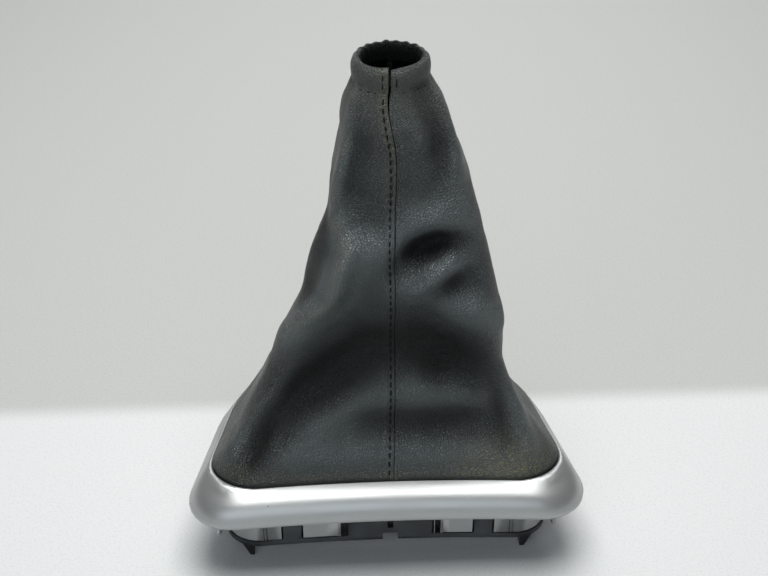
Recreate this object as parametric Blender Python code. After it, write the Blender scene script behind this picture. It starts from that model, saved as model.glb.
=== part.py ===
"""Gear lever gaiter with its bezel, taken out of a car and stood on its frame.

Five pieces: a silver bezel with a skirt below it, the black retainer frame that clips
into the skirt from below, two sewn panels of thin leather whose lower edge is trapped
between the two, and the elastic that draws the folded hem together at the neck.
Metres, +Z up. The seam side is the front and faces -Y. The frame's four feet stand at z = 0.
"""

import math

import bmesh
import bpy
from mathutils import Matrix, Vector

# Plan of the bezel: two front and two rear corner circles joined by straight sides.
BEZEL_DEPTH = 0.1060
FRONT_CORNER_X = 0.0633
FRONT_CORNER_RADIUS = 0.0211
FRONT_INNER_RADIUS = 0.0150
REAR_CORNER_X = 0.0265
REAR_CORNER_RADIUS = 0.0490
REAR_INNER_RADIUS = 0.0360

# Section of the bezel, inwards from its outer edge and upwards from its rim.
RIM_Z = 0.0270
RIM_ROOT = 0.0022
RIM_WALL = 0.0020
BEZEL_HEIGHT = 0.0137
BEZEL_PEAK = 0.0085
LIP_INSET = 0.0112
LIP_DROP = 0.0014
BEZEL_BAND = 0.0150
FUNNEL_FOOT = 0.0020
SKIRT_DEPTH = 0.0185
SKIRT_WALL = 0.0020

# In front the bezel is a full roll; this far behind its front edge it has become a straight
# flank, with its peak and its lip farther out, and it stays so round the rear.
FLANK_BEHIND_FRONT = 0.0350
FLANK_PEAK = 0.0073
FLANK_LIP_INSET = 0.0080

# The whole frame is arched from side to side, to follow the console.
CROWN = 0.0040

# Windows, arches, slot marks and latches of the skirt.
WINDOW_TOP_BELOW_RIM = 0.0020
ARCH_X = (-0.0190, 0.0213)
ARCH_WIDTH = 0.0024
ARCH_HEIGHT = 0.0100
ARCH_LIP = 0.0011
ARCH_PROUD = 0.0005
SLOT_X = (-0.0525, 0.0530)
SLOT_PITCH = 0.0013
SLOT_WIDTH = 0.0005
SLOT_DEEP = 0.0008
LATCH_AHEAD_OF_SIDE = 0.0077
LATCH_WIDTH = 0.0080
LATCH_THICK = 0.0014
LATCH_DROP = 0.0020

# Leather.
LEATHER = 0.0010
SEAM_GAP = 0.0003
NECK_X = 0.0034
NECK_Y = 0.0060
NECK_RADIUS = 0.0151
NECK_TOP_Z = 0.2140
HEM_HEIGHT = 0.0082
HEM_CHANNEL = 0.0020
FRONT_SWELL = 0.0020
REAR_SWELL = 0.0040
ELASTIC_THICK = 0.0014
ELASTIC_WIDTH = 0.0052

# How far the leather's sides stand outside a straight cone: (share of the way up, distance).
RIGHT_SWELL = (
    (0.0, 0.0), (0.08, -0.0072), (0.18, -0.0120), (0.26, -0.0114), (0.36, -0.0056),
    (0.50, -0.0010), (0.76, 0.0029), (0.92, 0.0018), (1.0, 0.0),
)
LEFT_SWELL = (
    (0.0, 0.0), (0.08, -0.0045), (0.26, -0.0087), (0.46, -0.0117), (0.64, -0.0098),
    (0.78, -0.0046), (0.94, 0.0006), (1.0, 0.0),
)

# The leather's main crests and hollows, each a line of (across, up, height) and a width. Across
# runs from the front seam at 0 to the rear seam, at -1 round the left and at 1 round the right.
FOLDS = (
    # Ridge round the dent on the left.
    (((-0.32, 0.70, 0.0005), (-0.25, 0.65, 0.0024), (-0.19, 0.60, 0.0050), (-0.24, 0.47, 0.0050),
      (-0.38, 0.36, 0.0016)), 0.0090),
    # Crest below the straight upper part.
    (((-0.20, 0.50, 0.0026), (-0.16, 0.56, 0.0032), (-0.08, 0.62, 0.0036), (0.0, 0.66, 0.0030),
      (0.10, 0.69, 0.0032), (0.20, 0.68, 0.0034), (0.28, 0.66, 0.0020)), 0.0100),
    # Wide hollow from the left corner over the seam to the right.
    (((-0.33, 0.14, -0.0018), (-0.27, 0.21, -0.0042), (-0.18, 0.27, -0.0058), (-0.09, 0.33, -0.0062),
      (0.0, 0.37, -0.0060), (0.10, 0.35, -0.0056), (0.18, 0.30, -0.0048), (0.26, 0.27, -0.0028)), 0.0140),
    # Deep hollow and slanting bump on the right, and the plane beside them.
    (((0.02, 0.58, -0.0016), (0.10, 0.61, -0.0040), (0.18, 0.625, -0.0044), (0.26, 0.63, -0.0026)), 0.0070),
    (((0.0, 0.49, 0.0012), (0.09, 0.51, 0.0034), (0.15, 0.54, 0.0040), (0.21, 0.57, 0.0032),
      (0.26, 0.59, 0.0014)), 0.0075),
    (((0.20, 0.46, 0.0014), (0.28, 0.44, 0.0024), (0.36, 0.40, 0.0016)), 0.0090),
    # Low crest above the bezel.
    (((-0.20, 0.13, 0.0020), (-0.12, 0.19, 0.0024), (-0.06, 0.21, 0.0030), (0.0, 0.215, 0.0028),
      (0.10, 0.22, 0.0032), (0.20, 0.22, 0.0026), (0.29, 0.21, 0.0014)), 0.0090),
)
# The same on the rear, where both sides are alike: across runs up to the rear seam at 1.
REAR_FOLDS = (
    (((0.74, 0.72, -0.0012), (0.80, 0.60, -0.0030), (0.92, 0.52, -0.0026), (1.0, 0.50, -0.0022)), 0.0090),
    (((0.66, 0.50, 0.0016), (0.78, 0.44, 0.0030), (0.90, 0.38, 0.0026), (1.0, 0.37, 0.0022)), 0.0100),
    (((0.60, 0.30, -0.0016), (0.74, 0.24, -0.0028), (0.90, 0.20, -0.0024), (1.0, 0.20, -0.0020)), 0.0090),
)
FOLD_FADE = 0.05
FOLD_BLEND = 0.0040
LEATHER_ROWS = 26

# Retainer frame.
FLANGE_BOTTOM = 0.0057
FLANGE_THICK = 0.0024
FLANGE_PROUD = 0.0004
FLANGE_REACH = 0.0070
RETAINER_WALL = 0.0020
RETAINER_WALL_RISE = 0.0140
CLIP_WIDTH = 0.0078
CLIP_FRONT_X = 0.0410
CLIP_REAR_X = 0.0200
BLOCK_X = 0.0010
BLOCK_WIDTH = 0.0360
BLOCK_WINDOW = (0.0024, 0.0036)
BLOCK_WINDOW_UP = 0.0060
BLOCK_NOTCH = (0.0065, 0.0032)
FOOT_FRONT_X = 0.0578
FOOT_REAR_X = 0.0400
FOOT_TOP_WIDTH = 0.0054
FOOT_TIP_WIDTH = 0.0018
FOOT_DEEP = 0.0040

# Clearances.
GAP = 0.0003
CLIP_GAP = 0.0008

# How finely the plan is divided: front half, front corner, side, rear corner, rear half.
STEPS = (6, 9, 7, 9, 4)

# Heights and insets that follow from the sizes above.
FLANGE_TOP = FLANGE_BOTTOM + FLANGE_THICK
SKIRT_BOTTOM = RIM_Z - SKIRT_DEPTH
WINDOW_TOP = RIM_Z - WINDOW_TOP_BELOW_RIM
SKIRT_OUTER = BEZEL_BAND - SKIRT_WALL
LEATHER_OUTER = BEZEL_BAND + GAP
WALL_OUTER = LEATHER_OUTER + LEATHER + GAP


def smooth(share):
    """Eases from 0 to 1 over the same range, and stays level outside it."""
    share = min(1.0, max(0.0, share))
    return share * share * (3 - 2 * share)


def read_curve(knots, place):
    """Height of a smooth curve through (place, height) knots."""
    after = next((n for n, knot in enumerate(knots) if knot[0] > place), len(knots) - 1)
    slopes = []
    for n in (after - 1, after):
        low, high = knots[max(0, n - 1)], knots[min(len(knots) - 1, n + 1)]
        slopes.append((high[1] - low[1]) / (high[0] - low[0]))
    (start, first), (end, last) = knots[after - 1], knots[after]
    width = end - start
    t = (place - start) / width
    return (
        first * (2 * t**3 - 3 * t**2 + 1)
        + slopes[0] * width * (t**3 - 2 * t**2 + t)
        + last * (3 * t**2 - 2 * t**3)
        + slopes[1] * width * (t**3 - t**2)
    )


def side_line():
    """Angle of the outward normal on the right side, and how far out that side lies."""
    across = REAR_CORNER_X - FRONT_CORNER_X
    along = BEZEL_DEPTH - FRONT_CORNER_RADIUS - REAR_CORNER_RADIUS
    spread = (FRONT_CORNER_RADIUS - REAR_CORNER_RADIUS) / math.hypot(across, along)
    angle = math.atan2(along, across) - math.acos(spread)
    front_y = -BEZEL_DEPTH / 2 + FRONT_CORNER_RADIUS
    reach = FRONT_CORNER_X * math.cos(angle) + front_y * math.sin(angle) + FRONT_CORNER_RADIUS
    return angle, reach


def corner_circle(inset, front):
    """Centre and radius of a right corner of the plan, moved inwards."""
    outer, inner = (
        (FRONT_CORNER_RADIUS, FRONT_INNER_RADIUS) if front else (REAR_CORNER_RADIUS, REAR_INNER_RADIUS)
    )
    share = min(1.0, inset / BEZEL_BAND)
    radius = outer + (inner - outer) * share - max(0.0, inset - BEZEL_BAND)
    angle, reach = side_line()
    y = BEZEL_DEPTH / 2 - inset - radius
    y = -y if front else y
    x = (reach - inset - radius - math.sin(angle) * y) / math.cos(angle)
    return Vector((x, y)), radius


def half_outline(inset):
    """Right half of the plan, from the front middle to the rear middle, moved inwards."""
    side = side_line()[0]
    ends = ((-math.pi / 2, side), (side, math.pi / 2))
    points = [Vector((0.0, -BEZEL_DEPTH / 2 + inset))]
    for front, (start, end), line, arc in zip((True, False), ends, STEPS[0:3:2], STEPS[1:4:2]):
        centre, radius = corner_circle(inset, front)
        first = centre + radius * Vector((math.cos(start), math.sin(start)))
        last = points[-1]
        points += [last.lerp(first, k / line) for k in range(1, line + 1)]
        for k in range(1, arc + 1):
            angle = start + (end - start) * k / arc
            points.append(centre + radius * Vector((math.cos(angle), math.sin(angle))))
    last = points[-1]
    middle = Vector((0.0, BEZEL_DEPTH / 2 - inset))
    points += [last.lerp(middle, k / STEPS[4]) for k in range(1, STEPS[4] + 1)]
    return points


def outline(inset):
    """The whole closed plan, from the front middle round by the right."""
    right = half_outline(inset)
    return right + [Vector((-p.x, p.y)) for p in reversed(right[1:-1])]


def flank_shares():
    """For each point of the half plan: 0 where the bezel is a full roll, 1 where it is a flank."""
    behind = [(p.y + BEZEL_DEPTH / 2) / FLANK_BEHIND_FRONT for p in half_outline(0.0)]
    return [smooth(share) for share in behind]


def half_line(front, flank):
    """Half plan of a section point (inset, height) that has one place in front, one on the flank."""
    near, far = half_outline(front[0]), half_outline(flank[0])
    made = []
    for start, end, share in zip(near, far, flank_shares()):
        point = start.lerp(end, share)
        made.append(Vector((point.x, point.y, front[1] + (flank[1] - front[1]) * share)))
    return made


def y_on_outline(inset, x, front):
    """Where the front or rear edge of the plan lies at a given x."""
    centre, radius = corner_circle(inset, front)
    past = max(0.0, abs(x) - centre.x)
    drop = radius - math.sqrt(max(0.0, radius * radius - past * past))
    edge = BEZEL_DEPTH / 2 - inset - drop
    return -edge if front else edge


def latch_y():
    """Where a latch's middle lies: ahead of the point where the skirt's straight side ends."""
    centre, radius = corner_circle(SKIRT_OUTER, True)
    return centre.y + radius * math.sin(side_line()[0]) - LATCH_AHEAD_OF_SIDE


def arch_lift(x):
    """How far the arch lifts the frame at a given x."""
    return CROWN * (1 - (x / (FRONT_CORNER_X + FRONT_CORNER_RADIUS)) ** 2)


def material(name, colour, roughness, metallic=0.0):
    """A plain material in the piece's colour."""
    made = bpy.data.materials.new(name)
    made.use_nodes = True
    shader = made.node_tree.nodes["Principled BSDF"]
    shader.inputs["Base Color"].default_value = (*colour, 1.0)
    shader.inputs["Roughness"].default_value = roughness
    shader.inputs["Metallic"].default_value = metallic
    return made


def add_line(bm, points, closed):
    """Adds a line of vertices joined by edges."""
    verts = [bm.verts.new(p) for p in points]
    for first, second in zip(verts, verts[1:]):
        bm.edges.new((first, second))
    if closed:
        bm.edges.new((verts[-1], verts[0]))
    return verts


def extrude_line(bm, verts, points, closed):
    """Extrudes a line of vertices and moves the new line to the given points."""
    pairs = list(zip(verts, verts[1:]))
    if closed:
        pairs.append((verts[-1], verts[0]))
    edges = [bm.edges.get(pair) for pair in pairs]
    made = bmesh.ops.extrude_edge_only(bm, edges=edges)["geom"]
    fresh = {v for v in made if isinstance(v, bmesh.types.BMVert)}
    moved = []
    for vert, point in zip(verts, points):
        twin = next(e.other_vert(vert) for e in vert.link_edges if e.other_vert(vert) in fresh)
        twin.co = point
        moved.append(twin)
    return moved


def loft(bm, lines, closed_lines, closed_round):
    """Extrudes the first line through all the others, and back to itself if it goes round."""
    rows = [add_line(bm, lines[0], closed_lines)]
    rest = lines[1:] + lines[:1] if closed_round else lines[1:]
    for line in rest:
        rows.append(extrude_line(bm, rows[-1], line, closed_lines))
    if closed_round:
        bmesh.ops.remove_doubles(bm, verts=bm.verts, dist=1e-6)
    bmesh.ops.recalc_face_normals(bm, faces=bm.faces)
    return rows


def finish(bm, name, surface, smooth_below=40.0):
    """Turns the working mesh into a named object with its material."""
    mesh = bpy.data.meshes.new(name)
    bm.to_mesh(mesh)
    bm.free()
    mesh.shade_smooth()
    mesh.set_sharp_from_angle(angle=math.radians(smooth_below))
    obj = bpy.data.objects.new(name, mesh)
    bpy.context.scene.collection.objects.link(obj)
    if surface:
        obj.data.materials.append(surface)
    return obj


def add_box(bm, x, y, z):
    """Adds a box between the given limits on each axis."""
    centre = Vector(((x[0] + x[1]) / 2, (y[0] + y[1]) / 2, (z[0] + z[1]) / 2))
    size = Matrix.Diagonal((abs(x[1] - x[0]), abs(y[1] - y[0]), abs(z[1] - z[0]), 1.0))
    return bmesh.ops.create_cube(bm, size=1.0, matrix=Matrix.Translation(centre) @ size)["verts"]


def add_arch(bm, x, width, y, z):
    """Adds an upright slot shape with a round top, through the given depth."""
    top = z[1] - width / 2
    add_box(bm, (x - width / 2, x + width / 2), y, (z[0], top))
    turn = Matrix.Translation((x, (y[0] + y[1]) / 2, top)) @ Matrix.Rotation(math.pi / 2, 4, "X")
    bmesh.ops.create_cone(
        bm,
        cap_ends=True,
        segments=20,
        radius1=width / 2 - 0.00002,
        radius2=width / 2 - 0.00002,
        depth=abs(y[1] - y[0]) - 0.00004,
        matrix=turn,
    )


def helper(bm, name):
    """Makes a hidden object for a Boolean."""
    obj = finish(bm, name, None)
    obj.hide_render = True
    obj.display_type = "WIRE"
    return obj


def boolean(target, tool, operation, use_self=False):
    """Adds an exact Boolean to the target."""
    step = target.modifiers.new(f"{operation.title()} {tool.name}", "BOOLEAN")
    step.operation = operation
    step.object = tool
    step.solver = "EXACT"
    step.use_self = use_self


def quarter(start, end, steps, upright_first):
    """Points of a quarter ellipse between two section points, without the first one."""
    made = []
    for k in range(1, steps + 1):
        turn = math.pi / 2 * k / steps
        slow, fast = 1 - math.cos(turn), math.sin(turn)
        across, up = (slow, fast) if upright_first else (fast, slow)
        made.append((start[0] + (end[0] - start[0]) * across, start[1] + (end[1] - start[1]) * up))
    return made


def straight(start, end, steps):
    """Points of a straight line between two section points, without the first one."""
    first, last = Vector(start), Vector(end)
    return [tuple(first.lerp(last, k / steps)) for k in range(1, steps + 1)]


def bezel_section(rolled):
    """Closed section of the bezel, rolled or with its flank: inset from its edge, height above the rim."""
    peak = (BEZEL_PEAK if rolled else FLANK_PEAK, BEZEL_HEIGHT)
    lip = (LIP_INSET if rolled else FLANK_LIP_INSET, BEZEL_HEIGHT - LIP_DROP)
    if rolled:
        under = (BEZEL_PEAK + RIM_WALL / 10, BEZEL_HEIGHT - RIM_WALL)
    else:
        under = (FLANK_PEAK - RIM_WALL / 5, BEZEL_HEIGHT - 2 * RIM_WALL)
    outer, inner = (0.0, RIM_ROOT), (RIM_WALL, RIM_ROOT)
    section = [(0.0006, 0.0), (0.0, 0.0008), outer]
    section += quarter(outer, peak, 9, True) if rolled else straight(outer, peak, 9)
    section += quarter(peak, lip, 4, False)
    section += [(BEZEL_BAND, FUNNEL_FOOT), (BEZEL_BAND, -SKIRT_DEPTH)]
    section += [(SKIRT_OUTER, -SKIRT_DEPTH), (SKIRT_OUTER, FUNNEL_FOOT - 0.0002)]
    below = quarter(inner, under, 6, True) if rolled else straight(inner, under, 6)
    section += list(reversed(below))
    section += [inner, (RIM_WALL + 0.0001, 0.0)]
    return section


def add_side_box(bm, side, y, inset, z):
    """Adds a box along the slanted side of the plan, between two insets and two heights."""
    angle, reach = side_line()
    middle = reach - (inset[0] + inset[1]) / 2
    x = (middle - math.sin(angle) * y) / math.cos(angle)
    size = Matrix.Diagonal((abs(inset[1] - inset[0]), LATCH_WIDTH, z[1] - z[0], 1.0))
    place = Matrix.Translation((side * x, y, (z[0] + z[1]) / 2))
    turn = Matrix.Rotation(side * angle, 4, "Z")
    bmesh.ops.create_cube(bm, size=1.0, matrix=place @ turn @ size)


def settled(obj):
    """Applies an object's modifiers and removes their helper objects."""
    helpers = [m.object for m in obj.modifiers if m.type == "BOOLEAN"]
    bpy.context.view_layer.update()
    graph = bpy.context.evaluated_depsgraph_get()
    mesh = bpy.data.meshes.new_from_object(obj.evaluated_get(graph))
    obj.modifiers.clear()
    mesh.name = obj.name
    obj.data = mesh
    for tool in helpers:
        bpy.data.objects.remove(tool, do_unlink=True)


def arched(obj, foot):
    """Lifts a finished frame piece into its arch; what lies at the foot height stays."""
    settled(obj)
    bm = bmesh.new()
    bm.from_mesh(obj.data)
    bmesh.ops.triangulate(bm, faces=bm.faces)
    for vert in bm.verts:
        share = 1.0 if foot <= 0 else min(1.0, max(0.0, vert.co.z / foot))
        vert.co.z += arch_lift(vert.co.x) * share
    bm.to_mesh(obj.data)
    bm.free()
    obj.data.shade_smooth()
    obj.data.set_sharp_from_angle(angle=math.radians(40.0))


def make_bezel(surface):
    """The silver ring with its skirt, windows, arches and slot marks."""
    bm = bmesh.new()
    lines = []
    for front, flank in zip(bezel_section(True), bezel_section(False)):
        right = [p + Vector((0.0, 0.0, RIM_Z)) for p in half_line(front, flank)]
        lines.append(right + [Vector((-p.x, p.y, p.z)) for p in reversed(right[1:-1])])
    loft(bm, lines, closed_lines=True, closed_round=True)
    bezel = finish(bm, "bezel", surface)
    skirt_y = -BEZEL_DEPTH / 2 + SKIRT_OUTER
    inner_y = -BEZEL_DEPTH / 2 + BEZEL_BAND
    foot, head = SKIRT_BOTTOM, SKIRT_BOTTOM + ARCH_HEIGHT

    bosses = bmesh.new()
    for x in ARCH_X:
        y = (skirt_y - ARCH_PROUD, inner_y - SKIRT_WALL / 4)
        add_arch(bosses, x, ARCH_WIDTH + 2 * ARCH_LIP, y, (foot + 0.00005, head + ARCH_LIP))
    boolean(bezel, helper(bosses, "arch_bosses"), "UNION", use_self=True)

    cuts = bmesh.new()
    through = (skirt_y - 0.004, inner_y + 0.004)
    below = foot - 0.004
    for x in (-CLIP_FRONT_X, CLIP_FRONT_X):
        half = CLIP_WIDTH / 2 + CLIP_GAP
        add_box(cuts, (x - half, x + half), through, (below, WINDOW_TOP))
    half = BLOCK_WIDTH / 2 + CLIP_GAP
    add_box(cuts, (BLOCK_X - half, BLOCK_X + half), through, (below, WINDOW_TOP))
    rear = (BEZEL_DEPTH / 2 - BEZEL_BAND - 0.004, BEZEL_DEPTH / 2 - SKIRT_OUTER + 0.004)
    for x in (-CLIP_REAR_X, CLIP_REAR_X):
        half = CLIP_WIDTH / 2 + CLIP_GAP
        add_box(cuts, (x - half, x + half), rear, (below, WINDOW_TOP))
    boolean(bezel, helper(cuts, "window_cuts"), "DIFFERENCE")

    arches = bmesh.new()
    for x in ARCH_X:
        add_arch(arches, x, ARCH_WIDTH, through, (below, head))
    boolean(bezel, helper(arches, "arch_cuts"), "DIFFERENCE", use_self=True)

    slots = bmesh.new()
    for middle in SLOT_X:
        for x in (middle - SLOT_PITCH / 2, middle + SLOT_PITCH / 2):
            y = (skirt_y - 0.004, skirt_y + SLOT_DEEP)
            add_box(slots, (x - SLOT_WIDTH / 2, x + SLOT_WIDTH / 2), y, (below, WINDOW_TOP))
    boolean(bezel, helper(slots, "slot_cuts"), "DIFFERENCE")

    latches = bmesh.new()
    clear = SKIRT_OUTER - FLANGE_PROUD - GAP
    for side in (-1, 1):
        plate = (clear - LATCH_THICK, clear)
        add_side_box(latches, side, latch_y(), plate, (foot - LATCH_DROP, foot + 0.0010))
        root = (clear - LATCH_THICK, SKIRT_OUTER + SKIRT_WALL / 2)
        add_side_box(latches, side, latch_y(), root, (foot + 0.0004, RIM_Z))
    boolean(bezel, helper(latches, "latch_shapes"), "UNION", use_self=True)
    arched(bezel, 0.0)
    return bezel


def retainer_section():
    """Closed L section of the frame: flange below, wall inside the leather."""
    start = SKIRT_OUTER - FLANGE_PROUD
    end = start + FLANGE_REACH
    wall = (WALL_OUTER, WALL_OUTER + RETAINER_WALL)
    top = FLANGE_TOP + RETAINER_WALL_RISE
    end = max(end, wall[1] + 0.0006)
    return [
        (start, FLANGE_BOTTOM),
        (start, FLANGE_TOP - 0.0004),
        (start + 0.0004, FLANGE_TOP),
        (wall[0], FLANGE_TOP),
        (wall[0], top - 0.0005),
        (wall[0] + 0.0005, top),
        (wall[1], top),
        (wall[1], FLANGE_TOP),
        (end, FLANGE_TOP),
        (end, FLANGE_BOTTOM),
    ]


def add_foot(bm, side, x, front):
    """Adds a wedge foot: upright on its inner side, slanted on its outer side."""
    start = SKIRT_OUTER - FLANGE_PROUD + 0.0003
    far = abs(x) + FOOT_TOP_WIDTH
    edge = y_on_outline(start, far, front)
    back = edge + FOOT_DEEP if front else edge - FOOT_DEEP
    y = (min(edge, back), max(edge, back))
    inner = side * abs(x)
    outer = side * far
    root = FLANGE_BOTTOM + FLANGE_THICK / 2
    corners = add_box(bm, (min(inner, outer), max(inner, outer)), y, (0.0, root))
    shallow = (root - FLANGE_BOTTOM) / root
    for vert in corners:
        if abs(vert.co.x - outer) < 1e-6 and vert.co.z < 1e-6:
            vert.co.x = side * (abs(x) + FOOT_TIP_WIDTH)
        elif abs(vert.co.x - outer) < 1e-6:
            vert.co.x = side * (far + (FOOT_TOP_WIDTH - FOOT_TIP_WIDTH) * shallow)


def make_retainer(surface):
    """The black frame: ring, clips that fill the skirt's windows, centre block and feet."""
    bm = bmesh.new()
    lines = []
    for inset, z in retainer_section():
        lines.append([Vector((p.x, p.y, z)) for p in outline(inset)])
    loft(bm, lines, closed_lines=True, closed_round=True)
    frame = finish(bm, "retainer_frame", surface)
    front_y = -BEZEL_DEPTH / 2 + SKIRT_OUTER
    root = FLANGE_BOTTOM + FLANGE_THICK / 2
    rise = (root, WINDOW_TOP - CLIP_GAP)
    front = (front_y, front_y + SKIRT_WALL)
    rear = (-front_y - SKIRT_WALL, -front_y)

    clips = bmesh.new()
    for x in (-CLIP_FRONT_X, CLIP_FRONT_X):
        add_box(clips, (x - CLIP_WIDTH / 2, x + CLIP_WIDTH / 2), front, rise)
    for x in (-CLIP_REAR_X, CLIP_REAR_X):
        add_box(clips, (x - CLIP_WIDTH / 2, x + CLIP_WIDTH / 2), rear, rise)
    add_box(clips, (BLOCK_X - BLOCK_WIDTH / 2, BLOCK_X + BLOCK_WIDTH / 2), front, rise)
    boolean(frame, helper(clips, "clip_shapes"), "UNION")

    feet = bmesh.new()
    for side in (-1, 1):
        add_foot(feet, side, FOOT_FRONT_X, True)
        add_foot(feet, side, FOOT_REAR_X, False)
    boolean(frame, helper(feet, "foot_shapes"), "UNION")

    cuts = bmesh.new()
    wide, high = BLOCK_WINDOW
    low = FLANGE_BOTTOM + BLOCK_WINDOW_UP
    through = (front_y - 0.003, front_y + SKIRT_WALL + 0.0015)
    middle = BLOCK_X
    add_box(cuts, (middle - wide / 2, middle + wide / 2), through, (low, low + high))
    wide, high = BLOCK_NOTCH
    notch = (FLANGE_BOTTOM - 0.003, FLANGE_BOTTOM + high)
    add_box(cuts, (middle - wide / 2, middle + wide / 2), through, notch)
    boolean(frame, helper(cuts, "block_cuts"), "DIFFERENCE")
    arched(frame, FLANGE_BOTTOM)
    return frame


def swell(out, up):
    """How far the leather stands outside a straight cone, in a direction and at a share of the way up."""
    sideways = read_curve(RIGHT_SWELL if out.x > 0 else LEFT_SWELL, up)
    lengthways = (REAR_SWELL if out.y > 0 else FRONT_SWELL) * math.sin(math.pi * up)
    return sideways * out.x**2 + lengthways * out.y**2


def fold_height(folds, across, up, girth):
    """Height of the crests and hollows at a place on the leather, where its half is girth wide."""
    rise = NECK_TOP_Z - HEM_HEIGHT - RIM_Z - BEZEL_HEIGHT
    place = Vector((across * girth, up * rise))
    total = 0.0
    for line, width in folds:
        stretches = []
        for (x, y, low), (next_x, next_y, high) in zip(line, line[1:]):
            start = Vector((x * girth, y * rise))
            along = Vector((next_x * girth, next_y * rise)) - start
            share = min(1.0, max(0.0, (place - start).dot(along) / along.length_squared))
            away = (place - start - along * share).length
            stretches.append((away, low + (high - low) * share))
        nearest = min(stretches)[0]
        # Stretches about as near as the nearest one share in the height, so bends stay smooth.
        weights = [math.exp((nearest**2 - away**2) / FOLD_BLEND**2) for away, _ in stretches]
        height = sum(w * h for w, (_, h) in zip(weights, stretches)) / sum(weights)
        total += height * math.exp(-((nearest / width) ** 2))
    return total * smooth(up / FOLD_FADE)


def run_shares(line):
    """How far along a line each of its points lies, from 0 to 1, and the line's length."""
    run = [0.0]
    for first, second in zip(line, line[1:]):
        run.append(run[-1] + (second.xy - first.xy).length)
    return [part / run[-1] for part in run], run[-1]


def free_lines(foot_line, side, top_z):
    """Lines of the free leather from the bezel's lip up to the hem, over its swells and folds."""
    centre = Vector((NECK_X, NECK_Y))
    shares, foot_length = run_shares(foot_line)
    lines = []
    for k in range(1, LEATHER_ROWS + 1):
        up = k / LEATHER_ROWS
        girth = foot_length + (math.pi * NECK_RADIUS - foot_length) * up
        line = []
        for foot, across in zip(foot_line, shares):
            turn = -math.pi / 2 + math.pi * across
            top = centre + NECK_RADIUS * Vector((side * math.cos(turn), math.sin(turn)))
            out = (foot.xy - centre).normalized()
            lean = math.atan2((foot.xy - top).length, top_z - foot.z)
            fold = fold_height(FOLDS, side * across, up, girth)
            fold += fold_height(REAR_FOLDS, across, up, girth)
            flat = foot.xy.lerp(top, up) + out * (swell(out, up) + fold * math.cos(lean))
            z = foot.z + (top_z - foot.z) * up + fold * math.sin(lean)
            line.append(Vector((flat.x, flat.y, z)))
        lines.append(line)
    return lines


def panel_lines(side):
    """Lines of the leather's outer face, from the tucked edge to the hem's inner edge."""
    lip = BEZEL_HEIGHT - LIP_DROP - GAP
    over = BEZEL_HEIGHT + 2 * GAP
    tuck = (
        ((LEATHER_OUTER, FLANGE_TOP + GAP - RIM_Z),) * 2,
        ((LEATHER_OUTER, (FLANGE_TOP - RIM_Z) / 2),) * 2,
        ((LEATHER_OUTER, FUNNEL_FOOT - GAP),) * 2,
        ((LIP_INSET + 2 * GAP, lip), (FLANK_LIP_INSET + 2 * GAP, lip)),
        ((LIP_INSET + GAP, over), (FLANK_LIP_INSET + GAP, over)),
    )
    lines = []
    for front, flank in tuck:
        half = half_line(front, flank)
        lines.append([Vector((side * p.x, p.y, RIM_Z + p.z + arch_lift(p.x))) for p in half])
    high = NECK_TOP_Z - HEM_HEIGHT
    lines += free_lines(lines[-1], side, high)
    centre = Vector((NECK_X, NECK_Y))
    neck = [p.xy for p in lines[-1]]
    fold = HEM_CHANNEL / 2 + LEATHER
    rings = []
    for k in range(0, 7):
        turn = math.pi * k / 6
        z = NECK_TOP_Z - fold + fold * math.sin(turn)
        rings.append((z, NECK_RADIUS - fold + fold * math.cos(turn)))
    rings.append((high, NECK_RADIUS - 2 * fold))
    for z, radius in rings:
        around = [centre + (p - centre) * (radius / NECK_RADIUS) for p in neck]
        lines.append([Vector((p.x, p.y, z)) for p in around])
    shift = side * SEAM_GAP / 2
    for line in lines:
        line[0].x += shift
        line[-1].x += shift
    return lines


def set_seams_upright(panel):
    """Puts the inner edge of each seam straight behind its outer edge, so that the panels keep their gap."""
    settled(panel)
    verts = panel.data.vertices
    at_seam = panel.data.attributes["at_seam"]
    half = len(verts) // 2
    for n in range(half):
        if at_seam.data[n].value:
            verts[n + half].co.x = verts[n].co.x
    panel.data.attributes.remove(at_seam)


def make_panel(name, side, surface):
    """One sewn panel: half of the cone, with its hem folded inwards at the neck."""
    bm = bmesh.new()
    at_seam = bm.verts.layers.int.new("at_seam")
    for row in loft(bm, panel_lines(side), closed_lines=False, closed_round=False):
        row[0][at_seam] = row[-1][at_seam] = 1
    bm.faces.ensure_lookup_table()
    face = max(bm.faces, key=lambda f: side * f.calc_center_median().x)
    if face.normal.x * side < 0:
        bmesh.ops.reverse_faces(bm, faces=bm.faces)
    panel = finish(bm, name, surface)
    skin = panel.modifiers.new("Leather", "SOLIDIFY")
    skin.thickness = LEATHER
    skin.offset = -1.0
    skin.use_even_offset = True
    set_seams_upright(panel)
    return panel


def make_elastic(surface):
    """The flat elastic ring in the hem's channel."""
    bm = bmesh.new()
    outer = NECK_RADIUS - LEATHER - GAP
    middle = NECK_TOP_Z - HEM_CHANNEL / 2 - LEATHER - GAP - ELASTIC_WIDTH / 2
    bmesh.ops.create_cone(
        bm,
        cap_ends=False,
        segments=2 * sum(STEPS),
        radius1=outer,
        radius2=outer,
        depth=ELASTIC_WIDTH,
        matrix=Matrix.Translation((NECK_X, NECK_Y, middle)) @ Matrix.Rotation(math.pi / 2, 4, "Z"),
    )
    elastic = finish(bm, "neck_elastic", surface)
    band = elastic.modifiers.new("Band", "SOLIDIFY")
    band.thickness = ELASTIC_THICK
    band.offset = -1.0
    band.use_even_offset = True
    return elastic


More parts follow.
